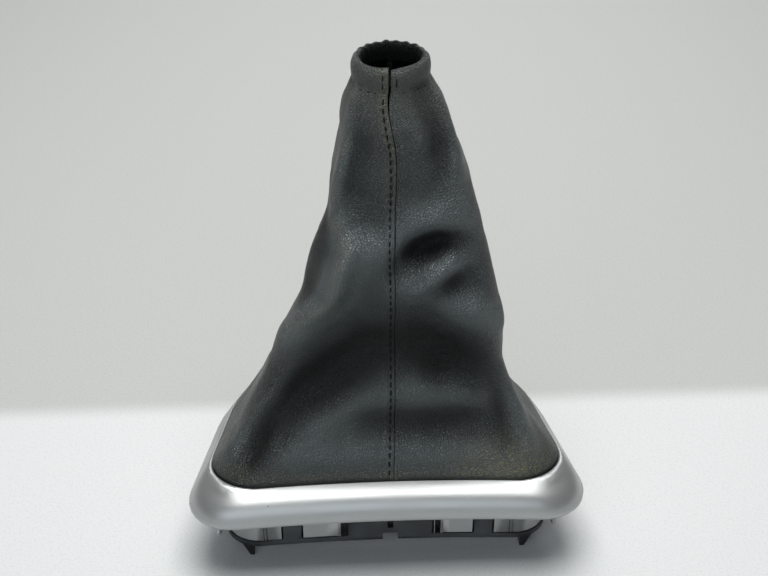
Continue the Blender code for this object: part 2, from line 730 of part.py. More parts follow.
def main():
    """Clears the scene and models the five pieces under one empty."""
    for obj in list(bpy.data.objects):
        bpy.data.objects.remove(obj, do_unlink=True)
    silver = material("silver_paint", (0.50, 0.50, 0.49), 0.32, 0.75)
    black = material("black_plastic", (0.020, 0.021, 0.022), 0.55)
    leather = material("charcoal_leather", (0.042, 0.044, 0.044), 0.52)
    rubber = material("black_elastic", (0.015, 0.015, 0.016), 0.85)
    root = bpy.data.objects.new("gaiter_assembly", None)
    bpy.context.scene.collection.objects.link(root)
    pieces = [
        make_bezel(silver),
        make_retainer(black),
        make_panel("gaiter_right_panel", 1, leather),
        make_panel("gaiter_left_panel", -1, leather),
        make_elastic(rubber),
    ]
    for piece in pieces:
        piece.parent = root


main()
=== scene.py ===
"""Looks of a gear lever gaiter: sewn leather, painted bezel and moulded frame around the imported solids.

Metres, +Z up, the seam side to -Y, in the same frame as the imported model.
"""

import logging
import math
from dataclasses import dataclass, field
from enum import Enum

import bmesh
import bpy
import numpy as np
from mathutils import Matrix, Vector, noise


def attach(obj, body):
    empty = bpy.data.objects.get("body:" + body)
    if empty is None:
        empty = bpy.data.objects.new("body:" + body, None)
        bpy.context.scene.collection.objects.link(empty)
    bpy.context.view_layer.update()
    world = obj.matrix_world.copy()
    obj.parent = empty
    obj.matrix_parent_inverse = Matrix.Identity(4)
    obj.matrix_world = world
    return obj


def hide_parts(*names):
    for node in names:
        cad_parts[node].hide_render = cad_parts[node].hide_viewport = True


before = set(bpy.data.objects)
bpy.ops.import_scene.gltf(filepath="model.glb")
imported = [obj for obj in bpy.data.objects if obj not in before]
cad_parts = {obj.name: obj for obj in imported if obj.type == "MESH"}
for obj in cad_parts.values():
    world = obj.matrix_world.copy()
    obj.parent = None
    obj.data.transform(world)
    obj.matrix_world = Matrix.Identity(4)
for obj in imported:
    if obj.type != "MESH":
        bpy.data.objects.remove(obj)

IMAGE_WIDTH = 768
MM = 0.001

log = logging.getLogger("gaiter")
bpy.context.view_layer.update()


class Side(Enum):
    """The two sewn halves of the gaiter, as seen from the seam."""

    LEFT = -1
    RIGHT = 1


# Materials.


def linear(colour: str) -> tuple[float, float, float, float]:
    """Turns an sRGB hex colour into linear values.

    Args:
        colour: Six hex digits after a hash sign.

    Returns:
        Red, green, blue and alpha for a socket.
    """
    parts = [int(colour[k : k + 2], 16) / 255 for k in (1, 3, 5)]
    light = [p / 12.92 if p <= 0.04045 else ((p + 0.055) / 1.055) ** 2.4 for p in parts]
    return (*light, 1.0)


def fill_inputs(tree: bpy.types.NodeTree, node: bpy.types.Node, **inputs) -> None:
    """Gives a node's inputs their values or links.

    Args:
        tree: The material's node tree.
        node: The node.
        inputs: Socket name or "s" and its number, to a value or to another node's socket.
    """
    for name, value in inputs.items():
        place = int(name[1:]) if name[0] == "s" and name[1:].isdigit() else name.replace("_", " ")
        socket = node.inputs[place]
        if isinstance(value, bpy.types.NodeSocket):
            tree.links.new(value, socket)
        else:
            socket.default_value = value


def add_node(
    tree: bpy.types.NodeTree,
    kind: str,
    settings: dict | None = None,
    stops: list | None = None,
    **inputs,
) -> bpy.types.Node:
    """Adds a node, sets its properties and fills or links its inputs.

    Args:
        tree: The material's node tree.
        kind: The node's type name without its "ShaderNode" beginning.
        settings: Properties of the node itself.
        stops: A colour ramp's positions, each with a grey number or a linear colour.
        inputs: What its inputs get, as in fill_inputs.

    Returns:
        The new node.
    """
    made = tree.nodes.new("ShaderNode" + kind)
    for name, value in (settings or {}).items():
        setattr(made, name, value)
    fill_inputs(tree, made, **inputs)
    for n, (place, shade) in enumerate(stops or []):
        steps = made.color_ramp.elements
        step = steps[n] if n < len(steps) else steps.new(place)
        step.position = place
        step.color = shade if isinstance(shade, tuple) else (shade, shade, shade, 1.0)
    return made


def start_material(
    name: str,
) -> tuple[bpy.types.Material, bpy.types.NodeTree, bpy.types.Node, bpy.types.NodeSocket]:
    """Makes a material with a bare Principled shader.

    Args:
        name: The material's name.

    Returns:
        The material, its tree, its shader node and a socket with the place on the object.
    """
    made = bpy.data.materials.new(name)
    made.use_nodes = True
    tree = made.node_tree
    place = add_node(tree, "TexCoord").outputs["Object"]
    return made, tree, tree.nodes["Principled BSDF"], place


@dataclass(frozen=True)
class PebbledLeather:
    """Chrome-tanned cowhide, pigment-finished and embossed with a pebble grain, worn and dusty, with
    painted highlights on its crests and ridges and painted shade inside the neck.
    """

    colour: str = "#1e2021"
    crease: str = "#0b0c0d"
    # Painted shade for the leather inside the neck.
    inner_painted_shade: str = "#090a0a"
    # Wear and painted highlight along the left ridges.
    wear_and_highlight: str = "#4a4c48"
    # Painted highlight on the crests of the folds.
    crest_painted_highlight: str = "#3b4142"
    dust: str = "#66675f"
    soil: str = "#6e6748"
    roughness: float = 0.35
    # The shine is lowered in the hollows and inside the neck, as painted shade.
    hollow_shine: float = 0.16
    inner_shine: float = 0.10
    pebble_mm: float = 1.25
    pebble_deep_mm: float = 0.24
    pore_mm: float = 0.45
    pore_deep_mm: float = 0.05
    wander_mm: float = 1.3
    cloud_mm: float = 14.0

    def build(self, name: str = "pebbled_leather") -> bpy.types.Material:
        """Builds the leather from its masks, the attributes for dust, soil, wear, polish and the inside
        of the neck; the wear and polish masks also carry painted highlights, and the inside one painted
        shade.
        """
        made, tree, shader, place = start_material(name)
        drift = add_node(tree, "TexNoise", Vector=place, Scale=1 / (6 * MM), Detail=2.0)
        mixed = add_node(
            tree, "VectorMath", {"operation": "MULTIPLY_ADD"},
            s0=drift.outputs["Color"], s1=(self.wander_mm * MM,) * 3, s2=place,
        )
        wide = add_node(tree, "Mapping", Vector=mixed.outputs[0], Scale=(1.0, 1.0, 1.5)).outputs[0]
        # The embossed pebbles, and the pores on them, are rounded islands between fine creases.
        islands = []
        for size_mm, stops in (
            (self.pebble_mm, [(0.0, 0.0), (0.12, 0.62), (0.4, 1.0)]),
            (self.pore_mm, [(0.0, 0.0), (0.25, 1.0)]),
        ):
            away = add_node(
                tree, "TexVoronoi", {"feature": "DISTANCE_TO_EDGE"},
                Vector=wide, Scale=1 / (size_mm * MM),
            ).outputs["Distance"]
            islands.append(add_node(tree, "ValToRGB", stops=stops, Fac=away).outputs[0])
        pebbles, pores = islands
        cloud = add_node(
            tree, "TexNoise", Vector=place, Scale=1 / (self.cloud_mm * MM), Detail=4.0
        ).outputs["Fac"]
        grit = add_node(
            tree, "TexNoise", Vector=wide, Scale=1 / (1.0 * MM), Detail=3.0, Roughness=0.7
        ).outputs["Fac"]
        masks = {
            mask: add_node(tree, "Attribute", {"attribute_name": mask}).outputs["Fac"]
            for mask in ("dust", "soil", "wear_and_highlight", "polish_and_highlight", "inside")
        }
        # Wear with its painted highlight, dust and soil lie in patches.
        for mask, patches, stops in (
            ("wear_and_highlight", cloud, [(0.35, 0.35), (0.65, 0.85)]),
            ("dust", cloud, [(0.3, 0.55), (0.7, 1.0)]),
            ("soil", grit, [(0.48, 0.0), (0.62, 1.0)]),
        ):
            share = add_node(tree, "ValToRGB", stops=stops, Fac=patches).outputs[0]
            masks[mask] = add_node(
                tree, "Math", {"operation": "MULTIPLY"}, s0=masks[mask], s1=share
            ).outputs[0]
        # Painted highlight on the crests, after the fold relief.
        crest = add_node(
            tree, "ValToRGB", stops=[(0.55, 0.0), (1.0, 0.85)], Fac=masks["polish_and_highlight"]
        ).outputs[0]
        # Each layer covers those before it. The crest and ridge layers are painted highlight, and the
        # last one darkens the leather inside the neck with painted shade.
        coat = linear(self.crease)
        for share, colour in (
            (pebbles, self.colour), (crest, self.crest_painted_highlight), (masks["wear_and_highlight"], self.wear_and_highlight),
            (masks["dust"], self.dust), (masks["soil"], self.soil),
            (masks["inside"], self.inner_painted_shade),
        ):
            coat = add_node(
                tree, "Mix", {"data_type": "RGBA"}, s0=share, s6=coat, s7=linear(colour)
            ).outputs[2]
        # Crests shine more, as polished leather does; the dimmer shine in the hollows and inside the neck
        # is painted shade.
        relief_shine = add_node(
            tree, "MapRange", s0=masks["polish_and_highlight"], s3=self.hollow_shine, s4=1.0
        ).outputs[0]
        shine = add_node(
            tree, "Mix", {"data_type": "FLOAT"}, s0=masks["inside"], s2=relief_shine, s3=self.inner_shine
        ).outputs[0]
        rough = add_node(
            tree, "MapRange", s0=cloud, s1=0.3, s2=0.7,
            s3=self.roughness - 0.04, s4=self.roughness + 0.06,
        ).outputs[0]
        dull = add_node(
            tree, "Math", {"operation": "MULTIPLY_ADD"}, s0=masks["dust"], s1=0.3, s2=rough
        ).outputs[0]
        first = add_node(tree, "Bump", Height=pebbles, Strength=1.0, Distance=self.pebble_deep_mm * MM)
        second = add_node(
            tree, "Bump", Height=pores, Strength=0.5, Distance=self.pore_deep_mm * MM,
            Normal=first.outputs[0],
        )
        fill_inputs(
            tree, shader, Base_Color=coat, Specular_IOR_Level=shine, Roughness=dull,
            Normal=second.outputs[0], Specular_Tint=linear("#e8f2f0"), Sheen_Weight=0.03,
            Sheen_Roughness=0.4, Sheen_Tint=linear("#b0b2a8"),
        )
        return made


@dataclass(frozen=True)
class SatinSilverPaint:
    """Moulded ABS sprayed with a fine metallic lacquer, satin, with a few dust nibs in it."""

    dark: str = "#a4a6a5"
    light: str = "#b6b8b7"
    nib: str = "#5f605c"
    roughness: float = 0.40
    flake_mm: float = 0.22

    def build(self, name: str = "satin_silver_paint") -> bpy.types.Material:
        """Builds the lacquer with its flakes and nibs."""
        made, tree, shader, place = start_material(name)
        flake = add_node(tree, "TexNoise", Vector=place, Scale=1 / (self.flake_mm * MM), Detail=1.0)
        nibs = add_node(
            tree, "TexVoronoi", {"feature": "F1"}, Vector=place, Scale=1 / (9 * MM), Randomness=1.0
        )
        spot = add_node(
            tree, "ValToRGB", stops=[(0.028, 1.0), (0.04, 0.0)],
            Fac=nibs.outputs["Distance"],
        ).outputs[0]
        sparkle = add_node(
            tree, "Mix", {"data_type": "RGBA"}, s0=flake.outputs["Fac"],
            s6=linear(self.dark), s7=linear(self.light),
        ).outputs[2]
        coat = add_node(
            tree, "Mix", {"data_type": "RGBA"}, s0=spot, s6=sparkle, s7=linear(self.nib)
        ).outputs[2]
        wear = add_node(tree, "TexNoise", Vector=place, Scale=1 / (25 * MM), Detail=5.0)
        rough = add_node(
            tree, "MapRange", s0=wear.outputs["Fac"], s1=0.3, s2=0.7,
            s3=self.roughness - 0.03, s4=self.roughness + 0.05,
        ).outputs[0]
        bump = add_node(tree, "Bump", Height=flake.outputs["Fac"], Strength=0.25, Distance=0.01 * MM)
        fill_inputs(
            tree, shader, Base_Color=coat, Metallic=0.72, Roughness=rough, Normal=bump.outputs[0]
        )
        return made


@dataclass(frozen=True)
class MouldedBlack:
    """Black talc-filled polypropylene, spark-eroded texture from its mould, matt."""

    colour: str = "#232728"
    scuff: str = "#3a3f3f"
    roughness: float = 0.5
    texture_mm: float = 0.5

    def build(self, name: str = "moulded_black") -> bpy.types.Material:
        """Builds the plastic with its eroded texture and light scuffs."""
        made, tree, shader, place = start_material(name)
        grain = add_node(tree, "TexNoise", Vector=place, Scale=1 / (self.texture_mm * MM), Detail=2.0)
        patch = add_node(tree, "TexNoise", Vector=place, Scale=1 / (12 * MM), Detail=5.0)
        rubbed = add_node(
            tree, "ValToRGB", stops=[(0.45, 0.0), (0.8, 1.0)],
            Fac=patch.outputs["Fac"],
        ).outputs[0]
        coat = add_node(
            tree, "Mix", {"data_type": "RGBA"}, s0=rubbed, s6=linear(self.colour), s7=linear(self.scuff)
        ).outputs[2]
        bump = add_node(tree, "Bump", Height=grain.outputs["Fac"], Strength=0.4, Distance=0.04 * MM)
        fill_inputs(
            tree, shader, Base_Color=coat, Roughness=self.roughness, Normal=bump.outputs[0]
        )
        return made


@dataclass(frozen=True)
class FibreSurface:
    """A dull surface of fibres: one texture gives it both its shade and its height.

    Its relief is the bump's strength and its depth in mm.
    """

    name: str
    dark: str
    light: str
    texture: str
    period_mm: float
    relief: tuple[float, float]
    roughness: float
    specular: float = 0.5
    detail: float = 2.0
    stops: tuple[float, float] = (0.0, 1.0)
    settings: dict = field(default_factory=dict)

    def build(self) -> bpy.types.Material:
        """Builds the surface."""
        made, tree, shader, place = start_material(self.name)
        fibres = add_node(
            tree, self.texture, self.settings,
            Vector=place, Scale=1 / (self.period_mm * MM), Detail=self.detail,
        ).outputs["Fac"]
        stops = list(zip(self.stops, (linear(self.dark), linear(self.light))))
        shade = add_node(tree, "ValToRGB", stops=stops, Fac=fibres).outputs[0]
        strength, deep_mm = self.relief
        bump = add_node(tree, "Bump", Height=fibres, Strength=strength, Distance=deep_mm * MM)
        fill_inputs(
            tree, shader, Base_Color=shade, Roughness=self.roughness,
            Specular_IOR_Level=self.specular, Normal=bump.outputs[0],
        )
        return made


# The leather's rough inner side, dyed through, with its loose short fibres.
FLESH_SIDE = FibreSurface(
    "flesh_side", "#0b0c0c", "#131414", "TexNoise", period_mm=0.6, relief=(0.6, 0.15),
    roughness=0.95, specular=0.15, detail=4.0, stops=(0.35, 0.65),
)
# Black bonded polyester thread, dulled by use; the bands stand for its three twisted plies.
BONDED_THREAD = FibreSurface(
    "bonded_thread", "#060707", "#0d0e0e", "TexWave", period_mm=1.76, relief=(0.6, 0.05),
    roughness=0.75, specular=0.15,
    settings={"wave_type": "BANDS", "bands_direction": "DIAGONAL"},
)
# Flat black elastic, rubber cores wrapped in polyester, with ribs that run round the neck.
WOVEN_ELASTIC = FibreSurface(
    "woven_elastic", "#0e0f0f", "#1a1b1c", "TexWave", period_mm=2.88, relief=(0.7, 0.2),
    roughness=0.85, settings={"wave_type": "BANDS", "bands_direction": "Z"},
)


@dataclass(frozen=True)
class PaleFoam:
    """Pale closed-cell foam, its skin broken by small cells; it dims softly towards the back."""

    near: str = "#c9cbca"
    far: str = "#adaeac"
    cell_mm: float = 1.1
    turn_y: float = 0.066

    def build(self, name: str = "pale_foam") -> bpy.types.Material:
        """Builds the foam for the floor."""
        made, tree, shader, place = start_material(name)
        cell = add_node(tree, "TexNoise", Vector=place, Scale=1 / (self.cell_mm * MM), Detail=2.0)
        depth = add_node(tree, "SeparateXYZ", Vector=place).outputs["Y"]
        back = add_node(
            tree, "MapRange", {"interpolation_type": "SMOOTHSTEP"},
            s0=depth, s1=self.turn_y - 0.006, s2=self.turn_y + 0.010,
        ).outputs[0]
        tone = add_node(
            tree, "Mix", {"data_type": "RGBA"}, s0=back, s6=linear(self.near), s7=linear(self.far)
        ).outputs[2]
        speck = add_node(
            tree, "ValToRGB", stops=[(0.3, 0.90), (0.5, 1.0), (0.7, 1.0)],
            Fac=cell.outputs["Fac"],
        ).outputs[0]
        shade = add_node(
            tree, "Mix", {"data_type": "RGBA", "blend_type": "MULTIPLY"}, s0=1.0, s6=tone, s7=speck
        ).outputs[2]
        bump = add_node(tree, "Bump", Height=cell.outputs["Fac"], Strength=0.2, Distance=0.2 * MM)
        fill_inputs(tree, shader, Base_Color=shade, Roughness=0.85, Normal=bump.outputs[0])
        return made


# Shapes.


def new_piece(
    bm: bmesh.types.BMesh, name: str, finish: bpy.types.Material, sharp: float = 180.0
) -> bpy.types.Object:
    """Turns a working mesh into a smooth-shaded object at the origin.

    Args:
        bm: The working mesh, which is freed.
        name: The piece's name.
        finish: Its material.
        sharp: Edges that turn by more than this many degrees stay sharp.

    Returns:
        The new object.
    """
    mesh = bpy.data.meshes.new(name)
    bm.to_mesh(mesh)
    bm.free()
    mesh.shade_smooth()
    if sharp < 180.0:
        mesh.set_sharp_from_angle(angle=math.radians(sharp))
    made = bpy.data.objects.new(name, mesh)
    bpy.context.scene.collection.objects.link(made)
    mesh.materials.append(finish)
    return made


def place_piece(piece: bpy.types.Object, slot: str, *nodes: str) -> None:
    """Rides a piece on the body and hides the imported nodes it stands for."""
    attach(piece, "root")
    if nodes:
        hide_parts(*nodes)
    log.info("%s: %d faces", piece.name, len(piece.data.polygons))


def smooth_step(x: np.ndarray) -> np.ndarray:
    """Eases from 0 to 1 over the same range, with flat ends."""
    x = np.clip(x, 0.0, 1.0)
    return x * x * (3 - 2 * x)


def through(knots: tuple, values: tuple, x: np.ndarray) -> np.ndarray:
    """A smooth curve through given values.

    Args:
        knots: Increasing places.
        values: The value at each place.
        x: Where to read the curve.

    Returns:
        The curve's values.
    """
    k, v = np.array(knots, float), np.array(values, float)
    slope = np.gradient(v, k)
    n = np.clip(np.searchsorted(k, x) - 1, 0, len(k) - 2)
    width = k[n + 1] - k[n]
    t = np.clip((x - k[n]) / width, 0.0, 1.0)
    t2, t3 = t * t, t * t * t
    return (
        (2 * t3 - 3 * t2 + 1) * v[n]
        + (t3 - 2 * t2 + t) * width * slope[n]
        + (3 * t2 - 2 * t3) * v[n + 1]
        + (t3 - t2) * width * slope[n + 1]
    )


@dataclass(frozen=True)
class BezelPlan:
    """Rounded plan of the bezel: two front and two rear corner circles with straight sides."""

    depth: float = 0.1060
    front_corner_x: float = 0.0633
    front_radius: float = 0.0211
    front_inner_radius: float = 0.0150
    rear_corner_x: float = 0.0265
    rear_radius: float = 0.0490
    rear_inner_radius: float = 0.0360
    band: float = 0.0150
    crown: float = 0.0040
    # Behind the front the roll becomes a flank, and the leather's slot lies farther out.
    flank_behind_front: float = 0.0350
    front_slot: float = 0.0115
    flank_slot: float = 0.0083
    tuck_inset: float = 0.0153

    def side_line(self) -> tuple[float, float]:
        """Angle of the outward normal on the right side, and how far out that side lies."""
        across = self.rear_corner_x - self.front_corner_x
        along = self.depth - self.front_radius - self.rear_radius
        spread = (self.front_radius - self.rear_radius) / math.hypot(across, along)
        angle = math.atan2(along, across) - math.acos(spread)
        front_y = -self.depth / 2 + self.front_radius
        reach = self.front_corner_x * math.cos(angle) + front_y * math.sin(angle) + self.front_radius
        return angle, reach

    def corner(self, inset: float, front: bool) -> tuple[Vector, float]:
        """Centre and radius of a right corner, moved inwards by the inset."""
        outer = self.front_radius if front else self.rear_radius
        inner = self.front_inner_radius if front else self.rear_inner_radius
        share = min(1.0, inset / self.band)
        radius = outer + (inner - outer) * share - max(0.0, inset - self.band)
        angle, reach = self.side_line()
        y = self.depth / 2 - inset - radius
        y = -y if front else y
        return Vector(((reach - inset - radius - math.sin(angle) * y) / math.cos(angle), y)), radius

    def half_outline(self, inset: float, shares: np.ndarray) -> np.ndarray:
        """Points of the right half of the plan.

        Args:
            inset: How far the plan is moved inwards.
            shares: Places along it, from 0 at the front middle to 1 at the rear middle.

        Returns:
            An array of x and y.
        """
        side = self.side_line()[0]
        points = [Vector((0.0, -self.depth / 2 + inset))]
        for front, start, end in ((True, -math.pi / 2, side), (False, side, math.pi / 2)):
            centre, radius = self.corner(inset, front)
            for k in range(49):
                turn = start + (end - start) * k / 48
                points.append(centre + radius * Vector((math.cos(turn), math.sin(turn))))
        points.append(Vector((0.0, self.depth / 2 - inset)))
        line = np.array([tuple(p) for p in points])
        run = np.r_[0.0, np.cumsum(np.linalg.norm(np.diff(line, axis=0), axis=1))]
        run /= run[-1]
        return np.stack([np.interp(shares, run, line[:, 0]), np.interp(shares, run, line[:, 1])], -1)

    def leather_line(self, shares: np.ndarray, tucked: float) -> np.ndarray:
        """Where the leather lies in plan, between the bezel's slot and the skirt.

        Args:
            shares: Places along it, from 0 at the front middle to 1 at the rear middle.
            tucked: 0 in the slot under the bezel's lip, 1 on the skirt's inner wall.

        Returns:
            An array of x and y.
        """
        behind = self.half_outline(0.0, shares)[:, 1] + self.depth / 2
        flank = smooth_step(behind / self.flank_behind_front)[:, None]
        front_inset = self.front_slot + (self.tuck_inset - self.front_slot) * tucked
        flank_inset = self.flank_slot + (self.tuck_inset - self.flank_slot) * tucked
        front, side = self.half_outline(front_inset, shares), self.half_outline(flank_inset, shares)
        return front * (1 - flank) + side * flank

    def lift(self, x: np.ndarray) -> np.ndarray:
        """How far the arch lifts the frame at a given x."""
        return self.crown * (1 - (x / (self.front_corner_x + self.front_radius)) ** 2)


@dataclass(frozen=True)
class Fold:
    """One crest or hollow of the leather.

    Its line runs through places (across, up, height in mm): across from 0 at the front seam to 1 at
    the rear seam, below 0 on the left panel, up from 0 at the bezel to 1 at the hem, and a hollow
    below zero height.
    """

    line: tuple[tuple[float, float, float], ...]
    width_mm: float
    blend_mm: float = 4.0

    def height(self, across: np.ndarray, up: np.ndarray, girth: np.ndarray, rise: float) -> np.ndarray:
        """The fold's height over the smooth form.

        Args:
            across: Signed share of the way round, for each point.
            up: Share of the way up, for each point.
            girth: Width of the panel at each point.
            rise: Length of the panel.

        Returns:
            Heights in metres.
        """
        x, y = across * girth, up * rise
        away, level = [], []
        for (a0, u0, h0), (a1, u1, h1) in zip(self.line, self.line[1:]):
            sx, sy = a0 * girth, u0 * rise
            dx, dy = (a1 - a0) * girth, (u1 - u0) * rise
            share = np.clip(((x - sx) * dx + (y - sy) * dy) / (dx * dx + dy * dy + 1e-12), 0.0, 1.0)
            away.append(np.hypot(x - sx - share * dx, y - sy - share * dy))
            level.append(h0 + (h1 - h0) * share)
        away, level = np.array(away), np.array(level)
        nearest = away.min(axis=0)
        # Stretches about as near as the nearest one share in the height, so bends stay smooth.
        weight = np.exp((nearest**2 - away**2) / (self.blend_mm * MM) ** 2)
        height = (weight * level).sum(axis=0) / weight.sum(axis=0)
        return height * MM * np.exp(-((nearest / (self.width_mm * MM)) ** 2))


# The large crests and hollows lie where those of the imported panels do; the leather's fold_gain
# then deepens them.
LARGE_FOLDS = (
    # Ridge round the dent on the left.
    Fold(((-0.32, 0.70, 0.5), (-0.25, 0.65, 2.4), (-0.19, 0.60, 5.0), (-0.24, 0.47, 5.0),
          (-0.38, 0.36, 1.6)), 7.0),
    # Crest below the straight upper part.
    Fold(((-0.20, 0.50, 2.6), (-0.16, 0.55, 3.2), (-0.08, 0.60, 3.2), (0.0, 0.62, 2.6),
          (0.10, 0.67, 3.0), (0.20, 0.68, 3.4), (0.28, 0.66, 2.0)), 8.0),
    # Wide hollow from the left corner over the seam to the right.
    Fold(((-0.33, 0.14, -1.8), (-0.27, 0.21, -4.2), (-0.18, 0.27, -5.2), (-0.09, 0.33, -4.6),
          (0.0, 0.345, -3.2), (0.10, 0.34, -4.4), (0.18, 0.30, -5.0), (0.26, 0.27, -2.8)), 12.0),
    # Deep hollow and slanting bump on the right, and the plane beside them.
    Fold(((0.02, 0.58, -1.6), (0.10, 0.605, -4.6), (0.18, 0.62, -5.2), (0.26, 0.63, -2.6)), 6.0),
    Fold(((0.0, 0.49, 1.0), (0.09, 0.51, 3.8), (0.15, 0.54, 5.0), (0.21, 0.57, 4.0),
          (0.26, 0.59, 1.4)), 6.2),
    Fold(((0.20, 0.46, 1.4), (0.28, 0.44, 3.0), (0.36, 0.40, 1.6)), 7.5),
    # Low crest above the bezel.
    Fold(((-0.20, 0.13, 1.6), (-0.12, 0.19, 1.4), (-0.06, 0.21, 1.2), (0.0, 0.215, 0.9),
          (0.10, 0.22, 1.6), (0.20, 0.22, 2.0), (0.29, 0.21, 1.4)), 9.0),
)
SMALL_FOLDS = (
    # The long edge from the neck down to the dent on the left, pale from wear and painted highlight, and
    # the flat side behind it.
    Fold(((-0.27, 1.00, 0.5), (-0.27, 0.91, 1.6), (-0.30, 0.80, 2.2), (-0.31, 0.73, 1.6),
          (-0.32, 0.69, 0.5)), 4.5),
    Fold(((-0.20, 0.96, -0.4), (-0.19, 0.86, -1.0), (-0.20, 0.76, -0.9)), 5.0),
    Fold(((-0.42, 0.95, -0.5), (-0.43, 0.80, -1.2), (-0.40, 0.70, -1.8), (-0.36, 0.66, -1.4)), 7.0),
    Fold(((-0.34, 0.58, -0.6), (-0.36, 0.50, -1.4), (-0.42, 0.43, -0.8)), 8.0),
    # The dark pocket before the left corner and the pale upright crease beside it.
    Fold(((-0.325, 0.05, -2.0), (-0.33, 0.10, -2.6), (-0.33, 0.16, -1.0)), 5.0),
    Fold(((-0.39, 0.04, 0.8), (-0.38, 0.10, 1.8), (-0.36, 0.18, 1.6), (-0.33, 0.26, 0.6)), 5.0),
    # The upright hollow below the neck on the right and the edge beside it.
    Fold(((0.26, 1.00, -0.6), (0.26, 0.94, -1.8), (0.26, 0.86, -2.0), (0.24, 0.80, -0.8)), 4.5),
    Fold(((0.38, 0.99, 0.5), (0.37, 0.92, 1.6), (0.36, 0.85, 2.0), (0.31, 0.78, 1.6),
          (0.29, 0.70, 1.0)), 5.5),
    Fold(((0.06, 0.93, 0.5), (0.14, 0.90, 0.6)), 6.0),
    # Nick below the slanting bump.
    Fold(((0.17, 0.505, -1.6), (0.22, 0.52, -2.6), (0.27, 0.535, -1.2)), 5.0),
    # Shallow valley and the belly by the bezel.
    Fold(((-0.11, 0.15, -0.4), (-0.06, 0.14, -1.4), (0.0, 0.135, -1.6), (0.10, 0.13, -2.0),
          (0.19, 0.135, -2.0), (0.26, 0.14, -1.0)), 6.0),
    Fold(((-0.24, 0.06, 1.0), (-0.12, 0.06, 1.4), (0.0, 0.05, 1.2), (0.12, 0.05, 1.4),
          (0.24, 0.05, 1.0)), 6.5),
    # Creases above the right corner.
    Fold(((0.33, 0.23, -0.6), (0.32, 0.16, -1.8), (0.30, 0.09, -0.8)), 4.5),
    Fold(((0.39, 0.22, 0.8), (0.38, 0.14, 1.8), (0.35, 0.06, 1.4)), 5.0),
)
# The rear is alike on both sides: across runs up to the rear seam at 1.
REAR_FOLDS = (
    Fold(((0.74, 0.72, -1.2), (0.80, 0.60, -3.0), (0.92, 0.52, -2.6), (1.0, 0.50, -2.2)), 9.0),
    Fold(((0.66, 0.50, 1.6), (0.78, 0.44, 3.0), (0.90, 0.38, 2.6), (1.0, 0.37, 2.2)), 10.0),
    Fold(((0.60, 0.30, -1.6), (0.74, 0.24, -2.8), (0.90, 0.20, -2.4), (1.0, 0.20, -2.0)), 9.0),
    Fold(((0.62, 0.92, 0.6), (0.64, 0.75, 1.6), (0.60, 0.58, 1.2)), 6.0),
    Fold(((0.70, 0.08, 1.0), (0.85, 0.08, 1.4), (1.0, 0.08, 1.0)), 7.0),
)


